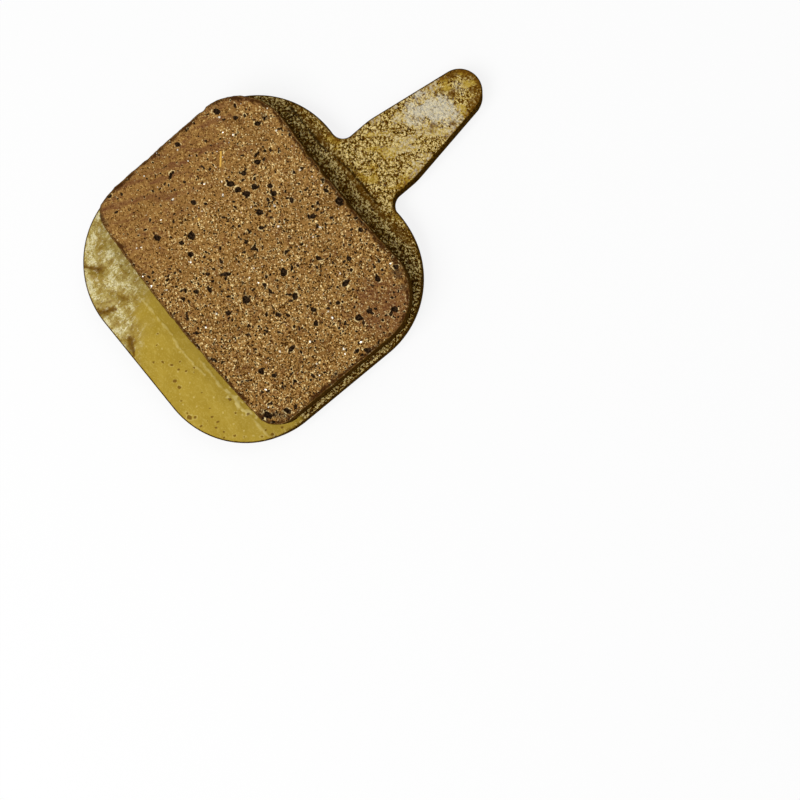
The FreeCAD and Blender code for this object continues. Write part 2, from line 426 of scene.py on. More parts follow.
class Region(IntEnum):
    """The kinds of surface on a piece."""

    FACE = 0
    WALL = 1
    BACK = 2
    KEY_WALL = 3
    KEY_END = 4


class Shell:
    """A closed mesh that grows by rings of points, strips between rings and flat fills."""

    MERGE: ClassVar[float] = 1e-7
    WHOLE_HULL: ClassVar[int] = 0

    def __init__(self) -> None:
        """Start with nothing."""
        self.points = np.empty((0, 3))
        self.regions = np.empty(0, int)
        self.faces: list[list[int]] = []

    def add(self, flat: Array, height: Array | float, region: Region) -> Array:
        """Add points.

        Args:
            flat: their places on the plane.
            height: one height, or one for each point.
            region: the surface that they belong to.

        Returns:
            Their indices.
        """
        first = len(self.points)
        heights = np.broadcast_to(height, len(flat))
        self.points = np.concatenate([self.points, np.column_stack([flat, heights])])
        self.regions = np.concatenate([self.regions, np.full(len(flat), int(region))])
        return np.arange(first, len(self.points))

    def strip(self, rings: list[Array], around_hole: bool = False) -> None:
        """Join counter-clockwise rings of equal length by walls.

        Args:
            rings: indices of the rings, from the lowest up.
            around_hole: whether the walls face the middle, as in a hole.
        """
        for lower, upper in zip(rings, rings[1:]):
            quads = np.stack([lower, np.roll(lower, -1), np.roll(upper, -1), upper], 1)
            self.faces += (quads[:, ::-1] if around_hole else quads).tolist()

    def fill(self, ring: Array, holes: list[Array], inner: Array, facing_up: bool) -> None:
        """Fill a flat region with triangles.

        Args:
            ring: indices of its outline.
            holes: indices of the round holes in it.
            inner: indices of the points inside it.
            facing_up: whether it is seen from above.
        """
        loops = [ring, *holes]
        order = np.concatenate([*loops, inner])
        edges = []
        start = 0
        for loop in loops:
            edges += [(start + index, start + (index + 1) % len(loop)) for index in range(len(loop))]
            start += len(loop)
        flat = [Vector(point) for point in self.points[order, :2]]
        _, _, found, origins, *_ = delaunay_2d_cdt(flat, edges, [], self.WHOLE_HULL, self.MERGE, True)
        source = np.array([sources[0] for sources in origins])
        triangles = np.sort(source[np.array(found)], 1)
        corner = self.points[order[triangles], :2]
        side = corner[:, 1] - corner[:, 0]
        other = corner[:, 2] - corner[:, 0]
        counter_clockwise = side[:, 0] * other[:, 1] - side[:, 1] * other[:, 0] > 0
        # A triangle with all its corners on one loop lies inside that loop if it turns the same way
        owner = np.repeat(np.arange(len(loops) + 1), [*(len(loop) for loop in loops), len(inner)])[triangles]
        one_loop = (owner[:, 0] == owner[:, 2]) & (owner[:, 0] < len(loops))
        in_ring = owner[:, 0] == 0
        outside = one_loop & (counter_clockwise != in_ring)
        triangles[counter_clockwise != facing_up] = triangles[counter_clockwise != facing_up, ::-1]
        self.faces += order[triangles[~outside]].tolist()

    def to_object(self, name: str, grades: Grades) -> Piece:
        """Make the Blender object.

        Args:
            name: name of the piece.
            grades: values for each point that the finish reads, by name.

        Returns:
            The object, linked to the scene.
        """
        mesh = bpy.data.meshes.new(name)
        mesh.from_pydata((self.points * MM).tolist(), [], self.faces)
        for label, values in grades.items():
            layer = mesh.attributes.new(label, "FLOAT", "POINT")
            layer.data.foreach_set("value", values.astype(np.float32))
        mesh.shade_smooth()
        mesh.update()
        piece = bpy.data.objects.new(name, mesh)
        bpy.context.scene.collection.objects.link(piece)
        return piece


@dataclass(frozen=True)
class Pattern:
    """Soft noise in a finish: its cells in a millimetre, its finer layers and how strong those are."""

    per_mm: float | Socket
    layers: float = 2.0
    rough: float = 0.5


@dataclass(frozen=True)
class Grade:
    """A smooth change from a first result at one value to a last result at another."""

    low: float
    high: float
    first: float = 0.0
    last: float = 1.0


class Graph:
    """Short words for laying and linking nodes in a tree."""

    MIDDLE: ClassVar[float] = 0.5
    SHAKES_PER_MM: ClassVar[float] = 7.0

    def __init__(self, tree: Tree) -> None:
        """Keep the tree."""
        self.tree = tree

    def feed(self, node: Node, inputs: Inputs) -> None:
        """Link sockets to a node's inputs, or set the inputs' plain values.

        Args:
            node: the node.
            inputs: sockets, numbers or colours by the names or places of the inputs.
        """
        for label, value in inputs.items():
            if isinstance(value, Socket):
                self.tree.links.new(value, node.inputs[label])
            else:
                node.inputs[label].default_value = value

    def lay(self, kind: str, inputs: Inputs | None = None, **settings: object) -> Node:
        """Lay a node.

        Args:
            kind: Blender's name for the node.
            inputs: what feeds it.
            settings: properties to set on it.

        Returns:
            The node.
        """
        laid = self.tree.nodes.new(kind)
        for label, value in settings.items():
            setattr(laid, label, value)
        self.feed(laid, inputs or {})
        return laid

    def grade(self, name: str) -> Socket:
        """Read a value that the mesh carries."""
        return self.lay("ShaderNodeAttribute", attribute_name=name).outputs["Fac"]

    def vector(self, operation: str, inputs: Inputs) -> Socket:
        """Work out a vector by one of Blender's operations."""
        return self.lay("ShaderNodeVectorMath", inputs, operation=operation).outputs["Vector"]

    def millimetres(self) -> Socket:
        """Give the place on the object in millimetres."""
        place = self.lay("ShaderNodeTexCoord").outputs["Object"]
        return self.vector("SCALE", {"Vector": place, "Scale": PER_METRE})

    def ragged_place(self, amount: float) -> Socket:
        """Give the place on the object in millimetres, shaken so that cells lose their straight sides.

        Args:
            amount: how far it is shaken.

        Returns:
            The socket that holds the place.
        """
        place = self.millimetres()
        shake = self.lay("ShaderNodeTexNoise", {"Vector": place, "Scale": self.SHAKES_PER_MM})
        centred = self.vector("SUBTRACT", {0: shake.outputs["Color"], 1: (self.MIDDLE,) * 3})
        scaled = self.vector("SCALE", {"Vector": centred, "Scale": 2.0 * amount})
        return self.vector("ADD", {0: place, 1: scaled})

    def stretched_place(self, turn: float, stretch: float) -> Socket:
        """Give the place on the object in millimetres, drawn out in one direction.

        Args:
            turn: angle of that direction.
            stretch: how many times longer than wide a pattern becomes.

        Returns:
            The socket that holds the place.
        """
        inputs = {"Vector": self.millimetres(), "Angle": -math.radians(turn)}
        rotated = self.lay("ShaderNodeVectorRotate", inputs, rotation_type="Z_AXIS").outputs["Vector"]
        return self.vector("MULTIPLY", {0: rotated, 1: (1.0 / stretch, 1.0, 1.0)})

    def noise(self, pattern: Pattern, place: Socket | None = None) -> Socket:
        """Lay soft noise, with values about 0.5, at a place or else at the plain place on the object."""
        laid = self.lay("ShaderNodeTexNoise", {
            "Vector": self.millimetres() if place is None else place,
            "Scale": pattern.per_mm,
            "Detail": pattern.layers,
            "Roughness": pattern.rough,
        })
        return laid.outputs["Fac"]

    def cells(self, place: Socket, per_mm: float | Socket) -> tuple[Socket, Socket]:
        """Lay random cells.

        Args:
            place: the place to read.
            per_mm: how many cells there are in a millimetre.

        Returns:
            The distance from a cell's middle, and a random number for each cell.
        """
        laid = self.lay("ShaderNodeTexVoronoi", {"Vector": place, "Scale": per_mm})
        parts = self.lay("ShaderNodeSeparateColor", {"Color": laid.outputs["Color"]})
        return laid.outputs["Distance"], parts.outputs["Red"]

    def math(self, operation: str, first: object, second: object = 0.0) -> Socket:
        """Work out a value by one of Blender's operations."""
        return self.lay("ShaderNodeMath", {0: first, 1: second}, operation=operation).outputs["Value"]

    def add(self, first: object, second: object) -> Socket:
        """Add two values."""
        return self.math("ADD", first, second)

    def less(self, first: object, second: object) -> Socket:
        """Take the second value from the first."""
        return self.math("SUBTRACT", first, second)

    def times(self, first: object, second: object) -> Socket:
        """Multiply two values."""
        return self.math("MULTIPLY", first, second)

    def apart(self, value: object, middle: float) -> Socket:
        """Give the distance of a value from a middle."""
        return self.math("ABSOLUTE", self.less(value, middle))

    def ease(self, value: object, grade: Grade) -> Socket:
        """Grade a value smoothly between two limits."""
        laid = self.lay("ShaderNodeMapRange", {
            "Value": value,
            "From Min": grade.low,
            "From Max": grade.high,
            "To Min": grade.first,
            "To Max": grade.last,
        }, interpolation_type="SMOOTHSTEP")
        return laid.outputs["Result"]

    # The mix node has sockets for every kind of value: the places below are those of its colours and numbers

    def mix(self, share: object, first: object, second: object) -> Socket:
        """Mix two colours by the share of the second."""
        return self.lay("ShaderNodeMix", {0: share, 6: first, 7: second}, data_type="RGBA").outputs[2]

    def blend(self, share: object, first: object, second: object) -> Socket:
        """Mix two numbers by the share of the second."""
        return self.lay("ShaderNodeMix", {0: share, 2: first, 3: second}, data_type="FLOAT").outputs[0]

    def ramp(self, value: object, tones: Tones) -> Socket:
        """Turn a value into a colour.

        Args:
            value: what is coloured.
            tones: values with their colours, in order.

        Returns:
            The socket that holds the colour.
        """
        laid = self.lay("ShaderNodeValToRGB", {"Fac": value})
        elements = laid.color_ramp.elements
        while len(elements) < len(tones):
            elements.new(self.MIDDLE)
        for element, (position, colour) in zip(elements, tones):
            element.position = position
            element.color = colour
        return laid.outputs["Color"]

    def effect(self, group: Tree, inputs: Inputs) -> Socket:
        """Place a shared effect and give what it puts out."""
        return self.lay("ShaderNodeGroup", inputs, node_tree=group).outputs[0]

    def bump(self, height: Socket, distance: float) -> Socket:
        """Turn a height into a bent normal, by a distance in millimetres."""
        return self.lay("ShaderNodeBump", {"Height": height, "Distance": distance * MM}).outputs["Normal"]


def new_group(name: str, inputs: dict[str, float], output: str) -> tuple[Graph, dict[str, Socket], Node]:
    """Start a shared shader effect.

    Args:
        name: name of the effect.
        inputs: its numbers with their usual values.
        output: name of the value that it puts out.

    Returns:
        The graph, its input sockets and the node to feed its output.
    """
    group = bpy.data.node_groups.new(name, "ShaderNodeTree")
    for label, value in inputs.items():
        group.interface.new_socket(label, in_out="INPUT", socket_type="NodeSocketFloat").default_value = value
    group.interface.new_socket(output, in_out="OUTPUT", socket_type="NodeSocketFloat")
    graph = Graph(group)
    given = graph.lay("NodeGroupInput").outputs
    return graph, {label: given[label] for label in inputs}, graph.lay("NodeGroupOutput")


@dataclass
class SharedEffects:
    """The shader effects that the finishes share, each built once."""

    lump_layers: float = 3.0
    lump_rough: float = 0.65
    finer_lumps: float = 2.3
    lump_round: float = 0.22
    grain_shake: float = 0.1
    speck_shake: float = 0.09
    speck_edge: Grade = Grade(-0.05, 0.05)

    def __post_init__(self) -> None:
        """Build the effects."""
        self.lumps = self.lumpy_lacquer()
        self.grains = self.metal_grains()
        self.specks = self.scattered_specks()

    def lumpy_lacquer(self) -> Tree:
        """Build the effect of lacquer that stands in small lumps over a blasted surface.

        Returns:
            The group, with the height of the lumps.
        """
        graph, given, result = new_group("lumpy_lacquer", {"Lumps per mm": 4.0}, "Height")
        body = graph.noise(Pattern(given["Lumps per mm"], self.lump_layers, self.lump_rough))
        distance, _ = graph.cells(graph.millimetres(), graph.times(given["Lumps per mm"], self.finer_lumps))
        rounded = graph.times(graph.less(graph.MIDDLE, distance), self.lump_round)
        graph.feed(result, {"Height": graph.add(body, rounded)})
        return graph.tree

    def metal_grains(self) -> Tree:
        """Build the effect of sintered grains that each have a tone of their own.

        Returns:
            The group, with the tone of each grain.
        """
        graph, given, result = new_group("metal_grains", {"Grains per mm": 8.0}, "Tone")
        _, tone = graph.cells(graph.ragged_place(self.grain_shake), given["Grains per mm"])
        graph.feed(result, {"Tone": tone})
        return graph.tree

    def scattered_specks(self) -> Tree:
        """Build the effect of small specks scattered over a surface.

        Returns:
            The group, with the mask of the specks.
        """
        usual = {"Cells per mm": 3.3, "Share": 0.25, "Radius": 0.2}
        graph, given, result = new_group("scattered_specks", usual, "Mask")
        distance, chance = graph.cells(graph.ragged_place(self.speck_shake), given["Cells per mm"])
        chosen = graph.math("LESS_THAN", chance, given["Share"])
        inside = graph.ease(graph.less(given["Radius"], distance), self.speck_edge)
        graph.feed(result, {"Mask": graph.times(chosen, inside)})
        return graph.tree


def new_material(name: str) -> tuple[Material, Graph, Node]:
    """Start a material with one Principled shader.

    Args:
        name: name of the finish.

    Returns:
        The material, its graph and the shader.
    """
    material = bpy.data.materials.new(name)
    material.use_nodes = True
    return material, Graph(material.node_tree), material.node_tree.nodes["Principled BSDF"]


@dataclass(frozen=True)
class FrictionFinish:
    """Ground sintered metal: copper-brown grains with graphite pits and a dark ragged border."""

    soot: Colour = paint(54, 28, 4)
    umber: Colour = paint(92, 58, 20)
    glint: Colour = paint(255, 230, 166)
    plum: Colour = paint(108, 66, 42)
    graphite: Colour = paint(22, 12, 4)
    slate: Colour = paint(66, 50, 34)
    border: Colour = paint(62, 34, 12)
    brass: Colour = paint(240, 188, 84)
    wall_dark_and_shade: Colour = paint(60, 38, 8)
    wall_gold: Colour = paint(140, 104, 38)
    grain_tones: Tones = ((0.04, soot), (0.17, umber), (0.28, paint(144, 104, 54)),
                          (0.8, paint(162, 121, 65)), (0.92, paint(198, 160, 94)), (1.0, glint))
    key_tones: Tones = ((0.44, paint(100, 72, 32)), (0.54, paint(160, 131, 86)), (0.66, paint(216, 188, 142)))

    # Grains, and the specks over them by cells in a millimetre and radius
    grains_per_mm: float = 12.0
    swing: Grade = Grade(0.0, 1.0, 1.0, 1.12)
    swing_middle: float = 0.9
    calm_swing: float = 0.75
    calm_lift: float = 0.14
    calm_specks: float = 0.6
    soot_specks: tuple[Place, ...] = ((3.3, 0.25), (5.3, 0.31))
    soot_share: Grade = Grade(0.0, 1.0, 0.13, 0.2)
    glint_specks: Place = (5.2, 0.27)
    glint_share: float = 0.1

    # Stains and streaks
    cloud: Pattern = Pattern(0.5, 3.0, 0.55)
    cloud_stain: Grade = Grade(0.45, 0.75, 0.0, 0.3)
    drawn: Pattern = Pattern(4.4, 3.0, 0.65)
    drawn_stretch: float = 3.0
    drawn_stain: Grade = Grade(0.52, 0.66, 0.0, 1.2)
    blush: Pattern = Pattern(1.9, 3.0, 0.6)
    blush_stain: Grade = Grade(0.52, 0.7, 0.0, 0.4)

    # Border and pits, both with ragged edges: painted shade on the border's tab side, painted highlights on
    # the pits' lips
    frost: Pattern = Pattern(5.0, 2.0, 0.6)
    patch: Pattern = Pattern(1.3)
    border_patch: float = 1.3
    border_edge: Grade = Grade(0.5, 0.95, 0.0, 0.92)
    pit_frost: float = 0.6
    pit_edge: Grade = Grade(-0.02, 0.12)
    pit_highlight_middle: float = -0.22
    pit_highlight: Grade = Grade(0.22, 0.05)
    highlight_patches: Pattern = Pattern(2.6)
    highlight_patch_share: Grade = Grade(0.52, 0.66, 0.0, 0.75)
    crumb: Pattern = Pattern(8.0)
    crumb_share: Grade = Grade(0.42, 0.64)

    # Walls, dark partly as painted shade, and how the surface takes the light
    lumps_per_mm: float = 5.0
    wall_share: Grade = Grade(0.52, 0.74, 0.0, 0.7)
    roughness: float = 0.6
    bump_distance: float = 0.04
    face_bump: Pattern = Pattern(8.0)

    def grains(self, graph: Graph, effects: SharedEffects) -> Socket:
        """Colour the ground metal grain by grain, more evenly where the face is smooth.

        Args:
            graph: the material's graph.
            effects: the shared effects.

        Returns:
            The socket that holds the colour.
        """
        smooth = graph.grade("smooth")
        coarse = graph.grade("coarse")
        tone = graph.effect(effects.grains, {"Grains per mm": self.grains_per_mm})
        swing = graph.times(graph.less(tone, self.swing_middle), graph.ease(coarse, self.swing))
        vivid = graph.add(swing, self.swing_middle)
        calm = graph.add(graph.times(tone, self.calm_swing), self.calm_lift)
        colour = graph.ramp(graph.blend(smooth, vivid, calm), self.grain_tones)
        lively = graph.less(1.0, graph.times(smooth, self.calm_specks))
        crowded = graph.ease(coarse, self.soot_share)
        specks = [(size, crowded, self.soot) for size in self.soot_specks]
        specks.append((self.glint_specks, self.glint_share, self.glint))
        for (per_mm, radius), share, tint in specks:
            inputs = {"Cells per mm": per_mm, "Share": share, "Radius": radius}
            colour = graph.mix(graph.times(graph.effect(effects.specks, inputs), lively), colour, tint)
        return colour

    def face(self, graph: Graph, effects: SharedEffects) -> Socket:
        """Lay streaks, stains, the border and the pits over the grains.

        Args:
            graph: the material's graph.
            effects: the shared effects.

        Returns:
            The socket that holds the colour.
        """
        colour = self.grains(graph, effects)
        colour = graph.mix(graph.ease(graph.noise(self.cloud), self.cloud_stain), colour, self.umber)
        drawn = graph.noise(self.drawn, graph.stretched_place(GRIND_TURN, self.drawn_stretch))
        dull = graph.times(graph.ease(drawn, self.drawn_stain), graph.grade("smooth"))
        colour = graph.mix(dull, colour, self.plum)
        colour = graph.mix(graph.ease(graph.noise(self.blush), self.blush_stain), colour, self.plum)
        for stain, tint in (("streak", self.plum), ("redden", self.plum), ("smudge", self.slate)):
            colour = graph.mix(graph.grade(stain), colour, tint)
        frost = graph.less(graph.noise(self.frost), graph.MIDDLE)
        patch = graph.times(graph.less(graph.noise(self.patch), graph.MIDDLE), self.border_patch)
        # Dark ragged border from the rim grade, which along the tab edge is painted shade
        ragged = graph.add(graph.grade("rim"), graph.add(frost, patch))
        colour = graph.mix(graph.ease(ragged, self.border_edge), colour, self.border)
        pit = graph.add(graph.grade("pit"), graph.times(frost, self.pit_frost))
        # Painted highlight in the glint colour on the lips of the pits, broken into patches
        pit_highlight = graph.ease(graph.apart(pit, self.pit_highlight_middle), self.pit_highlight)
        highlight_patches = graph.ease(graph.noise(self.highlight_patches), self.highlight_patch_share)
        colour = graph.mix(graph.times(pit_highlight, highlight_patches), colour, self.glint)
        crumbs = graph.ease(graph.noise(self.crumb), self.crumb_share)
        filling = graph.mix(crumbs, self.graphite, self.slate)
        colour = graph.mix(graph.ease(pit, self.pit_edge), colour, filling)
        return graph.mix(graph.grade("fibre"), colour, self.brass)

    def make(self, effects: SharedEffects) -> Material:
        """Build the material.

        Args:
            effects: the shared effects.

        Returns:
            The material.
        """
        material, graph, shader = new_material("sintered_friction_compound")
        coat = graph.effect(effects.lumps, {"Lumps per mm": self.lumps_per_mm})
        # The walls' coat, dark flecked with gold; the dark is partly painted shade
        side = graph.mix(graph.ease(coat, self.wall_share), self.wall_dark_and_shade, self.wall_gold)
        side = graph.mix(graph.grade("key"), side, graph.ramp(coat, self.key_tones))
        on_face = graph.grade("face")
        height = graph.blend(on_face, coat, graph.noise(self.face_bump))
        graph.feed(shader, {
            "Base Color": graph.mix(on_face, side, self.face(graph, effects)),
            "Roughness": self.roughness,
            "Specular IOR Level": 0.0,
            "Normal": graph.bump(height, self.bump_distance),
        })
        return material


@dataclass(frozen=True)
class PlateFinish:
    """A worn golden-olive lacquer on blasted steel, waxy on the far strip, with painted sheen in pale patches
    and painted light and shade.
    """

    umber: Colour = paint(101, 63, 13)
    bronze: Colour = paint(143, 103, 28)
    cream: Colour = paint(234, 212, 146)
    film: Colour = paint(176, 148, 54)
    film_deep: Colour = paint(166, 138, 45)
    film_light: Colour = paint(196, 172, 84)
    # Painted shade in the folds and cracks of the crinkled film
    crease: Colour = paint(126, 96, 30)
    fold: Colour = paint(158, 132, 56)
    crest: Colour = paint(188, 170, 100)
    coat_sheen: Colour = paint(234, 227, 204)
    # Painted highlight on the folds of the crinkled film, and its painted glints
    crinkle_highlight: Colour = paint(232, 224, 182)
    # Pale of the film's blisters, also used for its painted highlights
    blister: Colour = paint(222, 203, 128)
    # Brown of stains, also of painted shade at the tip's edge and in the film's dents
    brown: Colour = paint(104, 68, 14)
    # Dark brown of painted shade on the plate's edge, also of the dark marks and painted shade next to the
    # block
    edge: Colour = paint(52, 32, 4)
    worn: Colour = paint(170, 152, 116)
    # Lacquer by lump height: the darkest tones are painted shade in the crevices, cream is painted highlight
    # on the tops
    coat_tones: Tones = ((0.3, paint(48, 26, 0)), (0.4, umber), (0.47, bronze), (0.53, paint(172, 142, 50)),
                         (0.6, paint(200, 170, 80)), (0.74, cream))
    # Back by the height of its grain; the cream at the top is partly painted sparkle
    back_tones: Tones = ((0.4, paint(118, 84, 20)), (0.5, paint(190, 150, 58)), (0.58, paint(222, 194, 112)),
                         (0.68, cream))

    # Lumpy lacquer, with painted highlights on its lumps and painted shade in its crevices
    fine_lumps_per_mm: float = 6.4
    broad_lumps_per_mm: float = 5.2
    grit_per_mm: float = 11.0
    grit_share: float = 0.09
    swing_middle: float = 0.54
    crevice: Pattern = Pattern(3.4, 2.0, 0.6)
    crevice_share: Grade = Grade(0.03, 0.0, 0.0, 0.7)

    # Waxy film where it is smooth
    film_cloud: Pattern = Pattern(0.7, 3.0, 0.55)
    film_share: Grade = Grade(0.35, 0.65)
    film_drawn: Pattern = Pattern(3.0, 3.0, 0.6)
    film_turn: float = 0.0
    film_stretch: float = 2.5
    drawn_share: Grade = Grade(0.52, 0.75, 0.0, 0.4)
    mottle: Pattern = Pattern(7.0, 2.0, 0.6)
    mottle_share: Grade = Grade(0.5, 0.7, 0.0, 0.45)

    # Waxy film where it is crinkled, with painted sheen in pale patches, painted shade in its folds and
    # cracks and painted highlights on them
    patch: Pattern = Pattern(0.9, 3.0, 0.6)
    crest_share: Grade = Grade(0.4, 0.62)
    folds: Pattern = Pattern(3.4, 4.0, 0.7)
    fold_turn: float = 96.0
    fold_stretch: float = 2.0
    fold_dark: Grade = Grade(0.45, 0.37, 0.0, 0.7)
    fold_light: Grade = Grade(0.55, 0.61, 0.0, 0.55)
    crack: Pattern = Pattern(2.2, 3.0, 0.6)
    crack_share: Grade = Grade(0.03, 0.0, 0.0, 0.85)
    glitter_patch: Grade = Grade(0.3, 0.7)
    glitter_share: Grade = Grade(0.42, 0.48, 0.0, 0.6)

    # Pale places of painted sheen and highlights, stains partly painted shade, dark marks with painted shade,
    # and the edge's painted shade
    frost: Pattern = Pattern(4.5, 3.0, 0.65)
    frost_swing: Grade = Grade(0.0, 1.0, 2.2, 0.9)
    pale: Grade = Grade(0.15, 1.05, 0.0, 0.72)
    stain: Grade = Grade(0.2, 0.9, 0.0, 0.8)
    dark_marks_and_shade: Grade = Grade(0.3, 0.9, 0.0, 0.92)
    rim: Pattern = Pattern(3.5)
    rim_ragged: float = 0.5
    rim_edge: Grade = Grade(0.8, 1.15)
    edge_share: Grade = Grade(0.48, 0.68, 0.0, 0.6)

    # How the surface takes the light
    roughness: float = 0.55
    coat_roughness: float = 0.28
    bump_distance: float = 0.16
    film_evenness: float = 0.9

    def coat(self, graph: Graph, effects: SharedEffects, lumps: Socket) -> Socket:
        """Colour the lumpy lacquer by height, with painted shade in its crevices and painted highlights on
        its tops.

        Args:
            graph: the material's graph.
            effects: the shared effects.
            lumps: height of the lumps.

        Returns:
            The socket that holds the colour.
        """
        contrast = graph.grade("contrast")
        grit = graph.effect(effects.grains, {"Grains per mm": self.grit_per_mm})
        rough = graph.add(lumps, graph.times(grit, self.grit_share))
        swing = graph.times(graph.less(rough, self.swing_middle), contrast)
        level = graph.add(graph.add(swing, graph.MIDDLE), graph.grade("tone"))
        # Thin dark lines of painted shade in the crevices
        crevice = graph.ease(graph.apart(graph.noise(self.crevice), graph.MIDDLE), self.crevice_share)
        return graph.mix(graph.times(crevice, contrast), graph.ramp(level, self.coat_tones), self.umber)

    def wax(self, graph: Graph) -> Socket:
        """Colour the waxy film of the far strip, smooth or crinkled.

        Args:
            graph: the material's graph.

        Returns:
            The socket that holds the colour.
        """
        mottle = graph.noise(self.mottle)
        drawn = graph.noise(self.film_drawn, graph.stretched_place(self.film_turn, self.film_stretch))
        cloud = graph.ease(graph.noise(self.film_cloud), self.film_share)
        smooth = graph.mix(cloud, self.film_deep, self.film)
        smooth = graph.mix(graph.ease(drawn, self.drawn_share), smooth, self.film_light)
        smooth = graph.mix(graph.ease(mottle, self.mottle_share), smooth, self.film_light)
        patch = graph.noise(self.patch)
        folds = graph.noise(self.folds, graph.stretched_place(self.fold_turn, self.fold_stretch))
        crack = graph.ease(graph.apart(graph.noise(self.crack), graph.MIDDLE), self.crack_share)
        glitter = graph.times(mottle, graph.ease(patch, self.glitter_patch))
        # Crinkled film in patches of darker olive and of paler olive that is partly painted sheen, then
        # painted shade and highlights on its folds
        crinkled = graph.mix(graph.ease(patch, self.crest_share), self.fold, self.crest)
        crinkled = graph.mix(graph.ease(folds, self.fold_dark), crinkled, self.crease)
        crinkled = graph.mix(graph.ease(folds, self.fold_light), crinkled, self.crinkle_highlight)
        crinkled = graph.mix(crack, crinkled, self.crease)
        crinkled = graph.mix(graph.ease(glitter, self.glitter_share), crinkled, self.crinkle_highlight)
        return graph.mix(graph.grade("crinkle"), smooth, crinkled)

    def front(self, graph: Graph, effects: SharedEffects, lumps: Socket) -> Socket:
        """Colour the side that carries the block.

        Args:
            graph: the material's graph.
            effects: the shared effects.
            lumps: height of the lumpy lacquer.

        Returns:
            The socket that holds the colour.
        """
        waxy = graph.grade("film")
        frost = graph.less(graph.noise(self.frost), graph.MIDDLE)
        ragged = graph.times(frost, graph.ease(waxy, self.frost_swing))
        colour = graph.mix(waxy, self.coat(graph, effects, lumps), self.wax(graph))
        # Pale places: painted sheen on the coat; on the film, painted highlights among pale blisters
        light = graph.mix(waxy, self.coat_sheen, self.blister)
        stained = (("stain", self.stain, self.brown), ("dark_marks_and_shade", self.dark_marks_and_shade, self.edge))
        for name, grade, tint in (("pale", self.pale, light), *stained):
            share = graph.ease(graph.add(graph.grade(name), ragged), grade)
            colour = graph.mix(share, colour, tint)
        return colour

    def make(self, effects: SharedEffects) -> Material:
        """Build the material.

        Args:
            effects: the shared effects.

        Returns:
            The material.
        """
        material, graph, shader = new_material("worn_golden_lacquer")
        fine = graph.effect(effects.lumps, {"Lumps per mm": self.fine_lumps_per_mm})
        broad = graph.effect(effects.lumps, {"Lumps per mm": self.broad_lumps_per_mm})
        lumps = graph.blend(graph.grade("broad"), fine, broad)
        back = graph.mix(graph.grade("pale"), graph.ramp(broad, self.back_tones), self.worn)
        below = graph.grade("back")
        colour = graph.mix(below, self.front(graph, effects, lumps), back)
        # Painted shade along the plate's rounded edge and walls, flecked with bronze
        ragged = graph.add(graph.grade("rim"), graph.times(graph.noise(self.rim), self.rim_ragged))
        edging = graph.mix(graph.ease(lumps, self.edge_share), self.edge, self.bronze)
        colour = graph.mix(graph.ease(ragged, self.rim_edge), colour, edging)
        lively = graph.less(1.0, graph.times(graph.grade("film"), self.film_evenness))
        normal = graph.bump(graph.times(graph.blend(below, lumps, broad), lively), self.bump_distance)
        graph.feed(shader, {
            "Base Color": colour,
            "Roughness": self.roughness,
            "Specular IOR Level": 0.0,
            "Coat Weight": graph.grade("gloss"),
            "Coat Roughness": self.coat_roughness,
            "Normal": normal,
            "Coat Normal": normal,
        })
        return material


@dataclass(frozen=True)
class GrainFinish:
    """Bright metal cut by the grinding: mostly brass, some nearly white."""

    brass: Colour = paint(226, 178, 92)
    white: Colour = paint(250, 242, 222)
    white_share: Grade = Grade(0.15, 0.35)
    metallic: float = 0.7
    roughness: float = 0.32

    def make(self) -> Material:
        """Build the material.

        Returns:
            The material.
        """
        material, graph, shader = new_material("bright_metal_grain")
        tone = graph.ease(graph.grade("tone"), self.white_share)
        graph.feed(shader, {
            "Base Color": graph.mix(tone, self.brass, self.white),
            "Metallic": self.metallic,
            "Roughness": self.roughness,
        })
        return material


@dataclass(frozen=True)
class Key:
    """A round key of compound in its hole through the plate."""

    centre: Place
    radius: float


KEYS = (
    Key((0.0, 0.0), 3.0),
    Key((5.35, 5.05), 1.75),
    Key((-5.35, 5.05), 1.75),
    Key((7.9, -3.25), 2.0),
    Key((-7.9, -3.25), 2.0),
)
KEY_CLEARANCE = 0.02
KEY_RIM = 0.1


@dataclass(frozen=True)
class Pit:
    """A graphite pit in the friction face, read off where it is large."""

    centre: Place
    radius: float
    stretch: float = 1.3
    turn: float = 40.0

    def mark(self) -> Spot:
        """Give the pit's oval."""
        return Spot(self.centre, (self.radius * self.stretch, self.radius), self.turn)


